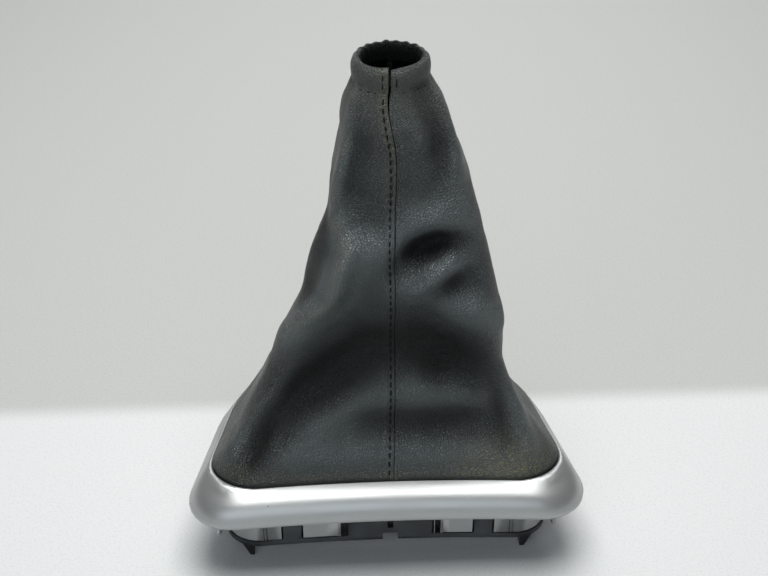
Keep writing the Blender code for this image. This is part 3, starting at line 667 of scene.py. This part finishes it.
@dataclass
class GaiterLeather:
    """The two sewn panels with their folds, hem, gathers and turned-in seams."""

    plan: BezelPlan
    finish: bpy.types.Material
    lining: bpy.types.Material
    thickness: float = 0.0010
    neck_x: float = 0.0034
    neck_y: float = 0.0060
    neck_radius: float = 0.0151
    foot_girth: float = 0.2024
    low_z: float = 0.0413
    hem_z: float = 0.2058
    rise: float = 0.1680
    rows: int = 180
    seam_edge: float = 0.0004
    seam_gap: float = 0.00003
    hem_gap: float = 0.00042
    seam_column: float = 0.0070
    # Columns by each seam, from the turned-in edge outwards, and how many lie between the seams.
    edge_columns: tuple = (
        -0.0018, -0.0009, 0.0, 0.00012, 0.00025, 0.00037, 0.0005, 0.0008, 0.0012, 0.0016, 0.0020,
        0.0024, 0.0028, 0.0033, 0.0039, 0.0047, 0.0058,
    )
    free_columns: int = 124
    fold_gain: float = 1.35
    # Topstitching beside the front seam: its groove, and its holes with the leather raised between.
    stitch_from_seam: float = 0.0020
    stitch_pitch: float = 0.00345
    groove_width: float = 0.0006
    hole_depth: float = 0.00060
    hole_rise: float = 0.00014
    # Stitches round the hem's foot pull the leather in.
    hem_stitch_below: float = 0.0012
    hem_pull: tuple = (0.00010, 0.00022)
    hem_pull_width: float = 0.0011
    gather_reach: float = 0.010
    # How far the seam allowance lifts the left side of the front seam over the right one, and the
    # rear seam on both sides. Each allowance has a width and a soft edge.
    left_lap: float = 0.00045
    right_dip: float = 0.00025
    rear_lap: float = 0.0003
    left_allowance: tuple = (0.0036, 0.0026)
    right_allowance: tuple = (0.0006, 0.0028)
    rear_allowance: tuple = (0.0034, 0.0020)
    hem_allowance: tuple = (0.0030, 0.0026)
    # Each end of the hem leans a little, the left one up and the right one down.
    hem_lean: dict = field(default_factory=lambda: {Side.LEFT: 0.0005, Side.RIGHT: -0.0007})
    hem_lean_reach: float = 0.0042
    # How far each side swells over a straight cone, in mm, from the bezel up to the hem.
    swell_up: tuple = (0.0, 0.08, 0.16, 0.26, 0.36, 0.46, 0.56, 0.66, 0.76, 0.86, 0.94, 1.0)
    swell: dict = field(default_factory=lambda: {
        Side.RIGHT: (0.0, -7.2, -11.8, -11.4, -5.6, -1.7, 0.2, 1.7, 2.9, 1.6, 1.9, 0.0),
        Side.LEFT: (0.0, -4.5, -6.9, -8.7, -10.1, -11.7, -10.0, -9.6, -5.3, -2.7, 0.6, 0.0),
    })
    # The front hangs in a hollow curve from the crest down to the bezel.
    swell_front: tuple = (0.0, -4.0, -5.2, -6.2, -4.3, -4.4, -2.2, -2.6, -0.2, 1.0, 0.8, 0.0)
    swell_rear_mm: float = 4.0
    # Dust lies most in a spot above the right front corner (x and z, then its reach in each), and
    # dirt along the slot, at this height.
    dusty_spot: tuple = (0.050, 0.048)
    dusty_reach: tuple = (0.020, 0.008)
    slot_dirt_z: float = 0.0455
    slot_dirt_reach: float = 0.0025
    # How much polish and painted highlight the level leather gets, and by what swell that grows by one.
    level_polish_and_highlight: float = 0.57
    polish_and_highlight_swell_mm: float = 5.6
    # How the front seam wanders sideways, in mm, from the bezel up to the hem, and how far beside
    # it the leather follows.
    seam_reach: float = 0.018
    seam_up: tuple = (0.0, 0.25, 0.5, 0.7, 0.8, 0.86, 0.9, 0.94, 0.97, 1.0)
    seam_shift: tuple = (2.3, 2.1, 1.55, 1.15, 1.5, 1.0, -0.2, -1.5, -1.9, -1.5)
    # Outer wall, roll and inner wall of the hem: mm outwards from the neck and up from its stitches.
    hem_path: tuple = (
        (0.0, 0.5), (0.06, 1.1), (0.14, 1.9), (0.22, 2.8), (0.26, 3.8), (0.24, 4.8), (0.10, 5.8),
        (-0.18, 6.7), (-0.62, 7.45), (-1.2, 7.95), (-1.85, 8.15), (-2.5, 8.05), (-3.05, 7.65),
        (-3.45, 7.0), (-3.7, 6.2), (-3.85, 5.2), (-3.95, 4.0), (-3.95, 2.8), (-3.95, 1.5),
        (-3.95, 0.3),
    )
    # The tucked edge, from its bottom to just under the bezel's lip: how far it lies towards the
    # skirt (1) from the slot (0), and its height.
    tuck_path: tuple = (
        (1.0, 0.0084), (1.0, 0.0130), (1.0, 0.0180), (1.0, 0.0230), (1.0, 0.0270),
        (0.90, 0.0300), (0.68, 0.0325), (0.44, 0.0350), (0.22, 0.0375), (0.07, 0.0395),
    )

    def girth(self, up: np.ndarray) -> np.ndarray:
        """Width of one panel at a share of the way up."""
        neck = math.pi * self.neck_radius
        return self.foot_girth + (neck - self.foot_girth) * np.clip(up, 0.0, 1.0)

    def smooth_form(self, side: Side, across: np.ndarray, up: np.ndarray) -> np.ndarray:
        """The leather's outer face without folds.

        Args:
            side: Which panel.
            across: Share of the way from the front seam to the rear seam.
            up: Share of the way from the bezel to the hem.

        Returns:
            Points with x, y and z in the last axis.
        """
        shape = across.shape
        foot = self.plan.leather_line(across.ravel(), 0.0).reshape(*shape, 2)
        turn = -math.pi / 2 + math.pi * across
        neck = np.stack([np.cos(turn), np.sin(turn)], -1) * self.neck_radius
        foot = foot * np.array((side.value, 1.0))
        neck = neck * np.array((side.value, 1.0)) + np.array((self.neck_x, self.neck_y))
        share = up[..., None]
        flat = foot * (1 - share) + neck * share
        out = foot - np.array((self.neck_x, self.neck_y))
        out /= np.linalg.norm(out, axis=-1, keepdims=True)
        sideways = through(self.swell_up, self.swell[side], up)
        rear = self.swell_rear_mm * np.sin(math.pi * np.clip(up, 0.0, 1.0))
        lengthways = np.where(out[..., 1] > 0, rear, through(self.swell_up, self.swell_front, up))
        amount = (sideways * out[..., 0] ** 2 + lengthways * out[..., 1] ** 2) * MM
        flat = flat + out * amount[..., None]
        near = np.exp(-((across * self.girth(up) / self.seam_reach) ** 2))
        flat[..., 0] += through(self.seam_up, self.seam_shift, up) * MM * near
        z = self.low_z + (self.hem_z - self.low_z) * up + self.plan.lift(foot[..., 0]) * (1 - up)
        return np.concatenate([flat, z[..., None]], -1)

    def outward(self, side: Side, across: np.ndarray, up: np.ndarray) -> np.ndarray:
        """Unit normals of the smooth form, pointing outwards."""
        step = 1e-3
        right = np.clip(across + step, 0, 1)
        left = np.clip(across - step, 0, 1)
        over = np.clip(up + step, 0, 1)
        under = np.clip(up - step, 0, 1)
        du = self.smooth_form(side, right, up) - self.smooth_form(side, left, up)
        dv = self.smooth_form(side, across, over) - self.smooth_form(side, across, under)
        normal = np.cross(du, dv) * side.value
        return normal / np.linalg.norm(normal, axis=-1, keepdims=True)

    def gather(self, side: Side, across: np.ndarray) -> np.ndarray:
        """The hem's gathers round the neck, in metres, strongest at the rear."""
        turn = math.pi * across * side.value
        wave = np.cos(21 * turn + 0.9) + 0.35 * np.cos(13 * turn + 2.3) + 0.3 * np.cos(8 * turn)
        strength = 0.05 + 0.24 * smooth_step((across - 0.5) / 0.3)
        return wave * strength * MM

    def relief(self, side: Side, across: np.ndarray, up: np.ndarray) -> np.ndarray:
        """Height of folds, gathers and stitch pulls over the smooth form, in metres."""
        girth = self.girth(up)
        total = np.zeros(across.shape)
        for folds, gain in ((LARGE_FOLDS, self.fold_gain), (SMALL_FOLDS, 1.0)):
            for fold in folds:
                total += gain * fold.height(across * side.value, up, girth, self.rise)
        for fold in REAR_FOLDS:
            total += fold.height(across, up, girth, self.rise)
        below = (1 - up) * self.rise
        total += self.gather(side, across) * np.exp(-((below / self.gather_reach) ** 2))
        around = 0.5 + 0.5 * np.cos(2 * math.pi * across * girth / self.stitch_pitch)
        pull = self.hem_pull[0] + self.hem_pull[1] * around**3
        total -= pull * np.exp(-(((below - self.hem_stitch_below) / self.hem_pull_width) ** 2))
        from_seam = across * girth
        line = np.exp(-(((from_seam - self.stitch_from_seam) / self.groove_width) ** 2))
        beat = 0.5 - 0.5 * np.cos(2 * math.pi * up * self.rise / self.stitch_pitch)
        if side is Side.LEFT:
            total += self.left_lap * self.allowance(from_seam, self.left_allowance)
            total -= (self.hole_depth * beat - self.hole_rise) * line
        else:
            total -= self.right_dip * self.allowance(from_seam, self.right_allowance)
        total += self.rear_lap * self.allowance((1 - across) * girth, self.rear_allowance)
        return total * smooth_step(up / 0.05)

    @staticmethod
    def allowance(away: np.ndarray, width_and_edge: tuple[float, float]) -> np.ndarray:
        """1 over a seam's allowance, easing to 0 past its width."""
        width, edge = width_and_edge
        return 1 - smooth_step((away - width) / edge)

    def surface(
        self, side: Side, across: np.ndarray, up: np.ndarray, deep: np.ndarray | float = 0.0
    ) -> np.ndarray:
        """Points of the finished outer face, moved inwards by a depth."""
        normal = self.outward(side, across, up)
        height = self.relief(side, across, up) - deep
        return self.smooth_form(side, across, up) + normal * height[..., None]

    def hem_point(
        self, side: Side, across: np.ndarray, away: float, over: float, roll: float
    ) -> np.ndarray:
        """Points round the hem.

        Args:
            side: Which panel.
            across: Share of the way from the front seam to the rear seam.
            away: Distance outwards from the neck, in mm.
            over: Height above the hem's foot, in mm.
            roll: 0 on the outer wall, 1 on the inner wall.

        Returns:
            Points with x, y and z in the last axis.
        """
        one = np.ones(across.shape)
        top = self.smooth_form(side, across, one)
        centre = np.array((self.neck_x, self.neck_y))
        out = (top[:, :2] - centre) / np.linalg.norm(top[:, :2] - centre, axis=-1, keepdims=True)
        wave = self.gather(side, across)
        from_seam = across * self.girth(one)
        lap = self.left_lap if side is Side.LEFT else -self.right_dip
        lap = lap * self.allowance(from_seam, self.hem_allowance) * (1 - roll)
        flat = top[:, :2] + out * (away * MM + wave * (1 - 0.45 * roll) + lap)[:, None]
        crown = math.exp(-(((roll - 0.5) / 0.24) ** 2))
        end = self.hem_lean[side] * np.exp(-((from_seam / self.hem_lean_reach) ** 2))
        z = self.hem_z + over * MM + (wave * 0.6 + end) * crown
        return np.concatenate([flat, z[:, None]], -1)

    def columns(self) -> tuple[np.ndarray, np.ndarray]:
        """Places across a panel: fixed distances by each seam and shares between them.

        Returns:
            Signed distances in metres (negative is turned in) and the share of the free middle.
        """
        front = [(c, 0.0) for c in self.edge_columns]
        last = self.free_columns - 1
        free = [(self.seam_column, k / last) for k in range(self.free_columns)]
        rear = [(c, 1.0) for c in reversed(self.edge_columns)]
        both = np.array(front + free + rear)
        return both[:, 0], both[:, 1]

    def across_of(
        self, distance: np.ndarray, share: np.ndarray, up: np.ndarray
    ) -> tuple[np.ndarray, np.ndarray]:
        """Turns a column into its place across and its depth below the face.

        Args:
            distance: Signed distance from the nearer seam.
            share: Share of the free middle; 0 and 1 are the columns by the seams.
            up: Share of the way up, for each point.

        Returns:
            Place across from 0 to 1, and depth in metres.
        """
        girth = self.girth(up)
        turn = np.clip(distance / self.seam_edge, 0.0, 1.0) * math.pi / 2
        gap = self.seam_gap + self.hem_gap * smooth_step((up - 0.93) / 0.07) * (share < 0.5)
        rolled = distance < self.seam_edge
        out = np.where(rolled, self.seam_edge * (1 - np.cos(turn)), distance)
        # Past the gap the columns close up again, so that only the edge moves away from the seam.
        out = out + gap * np.clip(1 - out / self.seam_column, 0.0, 1.0)
        deep = np.where(rolled, self.seam_edge * (1 - np.sin(turn)), 0.0) + np.clip(-distance, 0.0, 1.0)
        free = self.seam_column + (girth - 2 * self.seam_column) * share
        run = np.where(share >= 1.0, girth - out, np.where(share > 0.0, free, out))
        return run / girth, deep

    def panel_points(self, side: Side) -> tuple[np.ndarray, np.ndarray]:
        """All points of a panel, row by row, from the tucked edge to the hem's inner edge.

        Returns:
            Points of rows by columns, and the share up of each row (below 0 tucked, above 1 hem).
        """
        distance, share = self.columns()
        rows, ups = [], []
        zero, one = np.zeros(distance.shape), np.ones(distance.shape)
        across, deep = self.across_of(distance, share, zero)
        for tucked, z in self.tuck_path:
            flat = self.plan.leather_line(across, tucked) * np.array((side.value, 1.0))
            near = np.exp(-((across * self.foot_girth / self.seam_reach) ** 2))
            flat[:, 0] += self.seam_shift[0] * MM * near * (1 - tucked)
            flat[:, 1] -= np.minimum(deep, self.thickness) * np.sign(flat[:, 1])
            rows.append(np.concatenate([flat, (z + self.plan.lift(flat[:, 0]))[:, None]], -1))
            ups.append(-1.0)
        steps = np.linspace(0.0, 1.0, self.rows)
        up = np.repeat(steps[:, None], len(distance), axis=1)
        across, deep = self.across_of(distance[None, :], share[None, :], up)
        face = self.surface(side, across, up, deep)
        rows.extend(face + self.outward(side, across, up) * self.wrinkles(face, up)[..., None])
        ups.extend(steps)
        across, deep = self.across_of(distance, share, one)
        path = np.array(self.hem_path)
        along = np.gradient(path, axis=0)
        along /= np.linalg.norm(along, axis=1, keepdims=True)
        centre = np.array((self.neck_x, self.neck_y))
        for n, (away, over) in enumerate(self.hem_path):
            roll = n / (len(self.hem_path) - 1)
            row = self.hem_point(side, across, away, over, roll)
            out = row[:, :2] - centre
            out /= np.linalg.norm(out, axis=-1, keepdims=True)
            # The hem's face looks across its path: outwards, then up, then inwards.
            face_out, face_up = along[n, 1], -along[n, 0]
            row[:, :2] -= out * (deep * face_out)[:, None]
            row[:, 2] -= deep * face_up
            rows.append(row)
            ups.append(1.0 + (n + 1) / len(self.hem_path))
        return np.array(rows), np.array(ups)

    def wrinkles(self, points: np.ndarray, up: np.ndarray) -> np.ndarray:
        """Heights of the creases of tired leather, which fade out at the bezel and the hem.

        They run mostly round the gaiter, over softer swells that run any way.
        """
        height = np.empty(up.shape)
        for place in np.ndindex(up.shape):
            point = Vector(points[place])
            long = Vector((point.x / 0.016, point.y / 0.016, point.z / 0.0065))
            height[place] = (
                noise.noise(point / 0.013) * 0.36
                + noise.noise(long) * 0.24
                + noise.noise(point / 0.0055) * 0.10
            )
        fade = smooth_step(up / 0.08) * smooth_step((1 - up) / 0.05)
        return height * MM * fade

    def mask_values(
        self, side: Side, points: np.ndarray, ups: np.ndarray, across: np.ndarray
    ) -> dict[str, np.ndarray]:
        """Where the leather is dusty, soiled, worn with a painted highlight on its ridges, polished and
        painted lighter on its crests, or in painted shade inside the neck, from 0 to 1.

        Args:
            side: Which panel.
            points: Its points, rows by columns.
            ups: Share of the way up of each row.
            across: Share of the way round of each column.

        Returns:
            An array for each mask, by the mask's name.
        """
        x, z = points[..., 0], points[..., 2]
        up = np.broadcast_to(ups[:, None], x.shape)
        turn = np.broadcast_to(across[None, :], x.shape)
        front = smooth_step((0.45 - turn) / 0.2)
        aside = (x - self.dusty_spot[0]) / self.dusty_reach[0]
        over = (z - self.dusty_spot[1]) / self.dusty_reach[1]
        low_right = np.exp(-(aside**2) - over**2) * front
        neck = smooth_step((up - 0.86) / 0.14)
        dust = 0.40 * low_right + 0.22 * neck + 0.04
        by_seam = np.exp(-((turn * 0.2 / 0.008) ** 2))
        rim = np.exp(-(((z - self.slot_dirt_z) / self.slot_dirt_reach) ** 2))
        high_seam = by_seam * smooth_step((up - 0.66) / 0.2) * (side is Side.LEFT)
        inner_rim = np.exp(-(((turn - 0.62) / 0.12) ** 2)) * smooth_step((up - 1.2) / 0.2)
        left_rim = inner_rim * (side is Side.LEFT)
        soil = 0.85 * low_right + 0.55 * high_seam + 0.5 * by_seam * rim + 0.3 * rim + 0.6 * left_rim
        wear_and_highlight = np.zeros(x.shape)
        # The leather inside the neck gets painted shade.
        inside = smooth_step((up - 1.42) / 0.16)
        girth = self.girth(up)
        # The left ridges are pale, partly from wear and partly from painted highlight.
        if side is Side.LEFT:
            for ridge in (LARGE_FOLDS[0], SMALL_FOLDS[0]):
                edge = Fold(tuple((a, u, 1.0) for a, u, _ in ridge.line), 3.2)
                wear_and_highlight = np.maximum(wear_and_highlight, edge.height(-turn, up, girth, self.rise) / MM)
        # Crests get polish and a painted highlight; hollows get painted shade through a dimmer shine.
        folds = LARGE_FOLDS + SMALL_FOLDS
        swell = sum(fold.height(turn * side.value, up, girth, self.rise) for fold in folds)
        polish_and_highlight = smooth_step(self.level_polish_and_highlight + swell / (self.polish_and_highlight_swell_mm * MM))
        masks = {"dust": dust, "soil": soil, "wear_and_highlight": wear_and_highlight, "polish_and_highlight": polish_and_highlight, "inside": inside}
        return {name: np.clip(values, 0, 1) for name, values in masks.items()}

    def build_panel(self, side: Side) -> bpy.types.Object:
        """Shapes one panel from a flat grid, as the cut piece is drawn over its form."""
        points, ups = self.panel_points(side)
        high, wide = points.shape[:2]
        bm = bmesh.new()
        bmesh.ops.create_grid(bm, x_segments=wide - 1, y_segments=high - 1, size=0.5)
        distance, share = self.columns()
        across, _ = self.across_of(distance, share, np.full(distance.shape, 0.5))
        masks = self.mask_values(side, points, ups, across)
        layers = {name: bm.verts.layers.float.new(name) for name in masks}
        for vert in bm.verts:
            column = round((vert.co.x + 0.5) * (wide - 1))
            row = round((vert.co.y + 0.5) * (high - 1))
            for name, layer in layers.items():
                vert[layer] = float(masks[name][row, column])
            vert.co = points[row, column]
        if side is Side.LEFT:
            bmesh.ops.reverse_faces(bm, faces=bm.faces)
        name = f"gaiter_{side.name.lower()}_leather"
        panel = new_piece(bm, name, self.finish)
        panel.data.materials.append(self.lining)
        skin = panel.modifiers.new("Leather", "SOLIDIFY")
        skin.thickness = self.thickness
        skin.offset = -1.0
        skin.use_even_offset = False
        skin.material_offset = 1
        return panel

    def build(self) -> None:
        for side in Side:
            panel = self.build_panel(side)
            place_piece(panel, "leather", f"gaiter_{side.name.lower()}_panel")


@dataclass
class SeamThread:
    """The visible stitches: a row beside the front seam, one by the rear seam, and those of the hem."""

    leather: GaiterLeather
    finish: bpy.types.Material
    radius: float = 0.00027
    length_share: float = 0.72
    proud: float = 0.55

    def add_stitch(self, bm: bmesh.types.BMesh, start: Vector, end: Vector, normal: Vector) -> None:
        """Adds one stitch: a thread that rises from one hole and dives into the next."""
        middle = (start + end) / 2
        along = (end - start).normalized()
        across = normal.cross(along).normalized()
        turn = Matrix((across, along.cross(across), along)).transposed().to_4x4()
        length = (end - start).length
        one = bmesh.new()
        bmesh.ops.create_cone(
            one, cap_ends=True, segments=7, radius1=self.radius, radius2=self.radius, depth=length
        )
        edges = [e for e in one.edges if abs(e.verts[0].co.z - e.verts[1].co.z) > length / 2]
        bmesh.ops.subdivide_edges(one, edges=edges, cuts=5)
        for vert in one.verts:
            share = abs(vert.co.z) / (length / 2)
            vert.co.xy *= 1 - 0.25 * share**3
            vert.co.y -= (share**4) * 2.1 * self.radius
        bmesh.ops.transform(one, matrix=Matrix.Translation(middle) @ turn, verts=one.verts)
        shape = bpy.data.meshes.new("stitch")
        one.to_mesh(shape)
        one.free()
        bm.from_mesh(shape)
        bpy.data.meshes.remove(shape)

    def seam_row(self, bm: bmesh.types.BMesh, side: Side, from_seam: float, rear: bool) -> int:
        """Adds the stitches along one seam.

        Args:
            bm: The working mesh.
            side: The panel that the row lies on.
            from_seam: Distance from the seam.
            rear: Whether it is the rear seam.

        Returns:
            How many stitches were made.
        """
        leather = self.leather
        step = leather.stitch_pitch / leather.rise
        lows = np.arange(0.0, 1.0 - step, step)
        pad = (1 - self.length_share) / 2 * step
        for low in lows:
            ends = np.array((low + pad, low + step - pad, low + step / 2))
            girth = leather.girth(ends)
            across = 1 - from_seam / girth if rear else from_seam / girth
            points = leather.surface(side, across, ends)
            normal = Vector(leather.outward(side, across, ends)[2])
            lift = normal * self.radius * self.proud
            self.add_stitch(bm, Vector(points[0]) + lift, Vector(points[1]) + lift, normal)
        return len(lows)

    def hem_stitches(self, bm: bmesh.types.BMesh, side: Side, heights: tuple) -> int:
        """Adds upright stitches on the hem's outer wall, beside the front seam.

        Args:
            bm: The working mesh.
            side: The panel that they lie on.
            heights: For each stitch, where it starts and ends above the hem's foot, in mm.

        Returns:
            How many stitches were made.
        """
        leather = self.leather
        path = np.array(leather.hem_path[:9])
        across = np.full(1, (leather.stitch_from_seam + 0.0006) / leather.girth(np.ones(1))[0])
        for low, high in heights:
            ends = []
            for over in (low, high):
                away = float(np.interp(over, path[:, 1], path[:, 0]))
                ends.append(Vector(leather.hem_point(side, across, away, over, 0.0)[0]))
            normal = Vector((0.0, -1.0, 0.0))
            lift = normal * self.radius * self.proud
            self.add_stitch(bm, ends[0] + lift, ends[1] + lift, normal)
        return len(heights)

    def hem_row(self, bm: bmesh.types.BMesh, side: Side) -> int:
        """Adds the sunk stitches round the foot of the hem."""
        leather = self.leather
        girth = math.pi * leather.neck_radius
        up = 1 - leather.hem_stitch_below / leather.rise
        starts = np.arange(0.0030, girth - leather.stitch_pitch, leather.stitch_pitch)
        for start in starts:
            across = (start + np.array((0.0005, 0.0031, 0.0018))) / girth
            ups = np.full(3, up)
            points = leather.surface(side, across, ups)
            normal = Vector(leather.outward(side, across, ups)[2])
            self.add_stitch(bm, Vector(points[0]), Vector(points[1]), normal)
        return len(starts)

    def build(self) -> None:
        """Builds all rows as one piece."""
        bm = bmesh.new()
        offset = self.leather.stitch_from_seam + self.leather.seam_gap
        count = self.seam_row(bm, Side.LEFT, offset, rear=False)
        count += self.seam_row(bm, Side.LEFT, offset, rear=True)
        count += self.hem_stitches(bm, Side.LEFT, ((0.3, 3.1), (3.9, 6.6)))
        count += self.hem_stitches(bm, Side.RIGHT, ((0.6, 5.4),))
        for side in Side:
            count += self.hem_row(bm, side)
        thread = new_piece(bm, "seam_topstitch", self.finish)
        place_piece(thread, "leather")
        log.info("%d stitches", count)


@dataclass
class NeckElastic:
    """The elastic ring inside the hem."""

    leather: GaiterLeather
    finish: bpy.types.Material
    outer: float = 0.0137
    thickness: float = 0.0011
    low: float = 0.2068
    high: float = 0.2116

    def build(self) -> None:
        """Spins the band's section round the neck."""
        bm = bmesh.new()
        centre = Vector((self.leather.neck_x, self.leather.neck_y, 0.0))
        inner = self.outer - self.thickness
        corners = (
            (self.outer, self.low), (self.outer, self.high), (inner, self.high), (inner, self.low)
        )
        verts = [bm.verts.new(centre + Vector((r, 0.0, z))) for r, z in corners]
        edges = [bm.edges.new((verts[k], verts[(k + 1) % 4])) for k in range(4)]
        bmesh.ops.spin(
            bm, geom=verts + edges, cent=centre, axis=(0, 0, 1), angle=2 * math.pi, steps=96,
            use_merge=True,
        )
        bmesh.ops.remove_doubles(bm, verts=bm.verts, dist=1e-6)
        bmesh.ops.recalc_face_normals(bm, faces=bm.faces)
        around = [e for e in bm.edges if e.calc_face_angle(0.0) > 1.0]
        bmesh.ops.bevel(
            bm, geom=around, offset=0.0003, affect="EDGES", segments=2, profile=0.5, material=-1
        )
        band = new_piece(bm, "neck_elastic_band", self.finish, sharp=50.0)
        place_piece(band, "elastic", "neck_elastic")


@dataclass
class FrameMouldings:
    """The painted bezel and the black retainer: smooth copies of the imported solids."""

    plan: BezelPlan
    paint: bpy.types.Material
    plastic: bpy.types.Material
    rim_z: float = 0.027
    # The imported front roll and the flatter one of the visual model: mm inwards, mm above the rim.
    packed_peak: tuple = (8.5, 11.5, 2.2)
    packed_lip: tuple = (11.2, 12.3)
    roll_foot: float = 0.0023
    front_roll: tuple = (
        (0.0, 2.2), (0.5, 4.4), (1.2, 6.1), (2.2, 7.7), (3.4, 9.1), (5.0, 10.3), (7.0, 11.2),
        (9.0, 11.85), (11.2, 12.3),
    )

    def roll_drop(self, inset: np.ndarray) -> np.ndarray:
        """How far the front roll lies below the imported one, in mm, at a distance inwards in mm."""
        width, height, root = self.packed_peak
        lip_inset, lip_height = self.packed_lip
        outer = root + height * np.sqrt(np.clip(1 - ((width - inset) / width) ** 2, 0, 1))
        top = root + height
        share = (inset - width) / (lip_inset - width)
        inner = lip_height + (top - lip_height) * np.sqrt(np.clip(1 - share**2, 0, 1))
        packed = np.where(inset < width, outer, inner)
        places, heights = np.array(self.front_roll).T
        return np.where(inset < lip_inset, packed - through(tuple(places), tuple(heights), inset), 0.0)

    def flatten_roll(self, bm: bmesh.types.BMesh) -> None:
        """Gives the copy's front roll the flatter top that the photograph shows."""
        shares = np.linspace(0.0, 1.0, 1200)
        edge = self.plan.half_outline(0.0, shares)
        flank = smooth_step((edge[:, 1] + self.plan.depth / 2) / self.plan.flank_behind_front)
        for vert in bm.verts:
            over = vert.co.z - self.rim_z - float(self.plan.lift(np.array(vert.co.x)))
            if over < self.roll_foot:
                continue
            away = np.hypot(edge[:, 0] - abs(vert.co.x), edge[:, 1] - vert.co.y)
            nearest = int(away.argmin())
            drop = float(self.roll_drop(np.array(away[nearest] / MM)))
            vert.co.z -= drop * MM * (1 - flank[nearest])

    def dress(self, node: str, name: str, slot: str, finish: bpy.types.Material, sharp: float) -> None:
        """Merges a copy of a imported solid, shades it smooth and gives it its finish."""
        bm = bmesh.new()
        bm.from_mesh(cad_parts[node].data)
        bmesh.ops.remove_doubles(bm, verts=bm.verts, dist=2e-6)
        if node == "bezel":
            self.flatten_roll(bm)
        piece = new_piece(bm, name, finish, sharp=sharp)
        place_piece(piece, slot, node)

    def build(self) -> None:
        """Dresses both mouldings."""
        self.dress("bezel", "bezel_moulding", "silver_paint", self.paint, 32.0)
        self.dress("retainer_frame", "retainer_moulding", "black_plastic", self.plastic, 32.0)


@dataclass(frozen=True)
class Lamp:
    """A rectangular lamp that looks at a point; metres and watts."""

    name: str
    place: tuple[float, float, float]
    target: tuple[float, float, float]
    size: tuple[float, float]
    power: float
    colour: str = "#ffffff"


@dataclass
class Studio:
    """Pale floor, soft lamps and the camera."""

    foam: bpy.types.Material
    camera_place: tuple = (-0.0241, -0.4866, 0.4287)
    camera_right: tuple = (0.99875, -0.04998, 0.0)
    camera_ahead: tuple = (0.0419, 0.8376, -0.5446)
    focal_px: float = 1400.0
    sensor: float = 36.0
    floor_reach: float = 2.5
    room_colour: str = "#e6e8ea"
    room_strength: float = 0.07
    # One large lamp overhead, and weaker ones in front and behind.
    lamps: tuple[Lamp, ...] = (
        Lamp("overhead", (0.0, 0.12, 1.05), (0.0, 0.10, 0.0), (0.75, 0.95), 15.0),
        Lamp("front_fill", (-0.3, -1.15, 0.65), (0.0, 0.0, 0.08), (1.8, 0.8), 7.0, "#e9f1fa"),
        Lamp("rear_fill", (0.1, 1.0, 0.55), (0.0, 0.0, 0.08), (0.9, 0.5), 4.0),
    )

    def build_floor(self) -> None:
        """A wide flat floor."""
        bm = bmesh.new()
        bmesh.ops.create_grid(bm, x_segments=2, y_segments=2, size=self.floor_reach)
        new_piece(bm, "foam_floor", self.foam)

    def add_lamp(self, lamp: Lamp) -> None:
        """Hangs one lamp."""
        data = bpy.data.lights.new(lamp.name, "AREA")
        data.shape = "RECTANGLE"
        data.size, data.size_y = lamp.size
        data.energy = lamp.power
        data.color = linear(lamp.colour)[:3]
        made = bpy.data.objects.new(lamp.name, data)
        bpy.context.scene.collection.objects.link(made)
        made.location = lamp.place
        ahead = Vector(lamp.target) - Vector(lamp.place)
        made.rotation_euler = ahead.to_track_quat("-Z", "Y").to_euler()

    def build_room(self) -> None:
        """Gives the room its dim light."""
        world = bpy.data.worlds.new("studio")
        bpy.context.scene.world = world
        world.use_nodes = True
        back = world.node_tree.nodes["Background"]
        back.inputs["Color"].default_value = linear(self.room_colour)
        back.inputs["Strength"].default_value = self.room_strength

    def build_camera(self) -> None:
        """Sets the camera where the photograph was taken."""
        data = bpy.data.cameras.new("photo_view")
        data.sensor_width = self.sensor
        data.lens = self.focal_px * self.sensor / IMAGE_WIDTH
        data.clip_start = 0.01
        camera = bpy.data.objects.new("photo_view", data)
        bpy.context.scene.collection.objects.link(camera)
        right = Vector(self.camera_right).normalized()
        ahead = Vector(self.camera_ahead)
        ahead = (ahead - ahead.dot(right) * right).normalized()
        over = right.cross(ahead)
        turn = Matrix((right, over, -ahead)).transposed().to_4x4()
        camera.matrix_world = Matrix.Translation(self.camera_place) @ turn
        bpy.context.scene.camera = camera

    def build(self) -> None:
        """Builds floor, lamps and camera, and sets the plain view."""
        self.build_floor()
        for lamp in self.lamps:
            self.add_lamp(lamp)
        self.build_room()
        self.build_camera()
        bpy.context.scene.view_settings.view_transform = "Standard"


def main() -> None:
    """Builds the studio and every piece of the gaiter, in order."""
    logging.basicConfig(level=logging.INFO, format="%(name)s: %(message)s")
    Studio(PaleFoam().build()).build()
    plan = BezelPlan()
    FrameMouldings(plan, SatinSilverPaint().build(), MouldedBlack().build()).build()
    leather = GaiterLeather(plan, PebbledLeather().build(), FLESH_SIDE.build())
    NeckElastic(leather, WOVEN_ELASTIC.build()).build()
    leather.build()
    SeamThread(leather, BONDED_THREAD.build()).build()


if __name__ == "__main__":
    main()
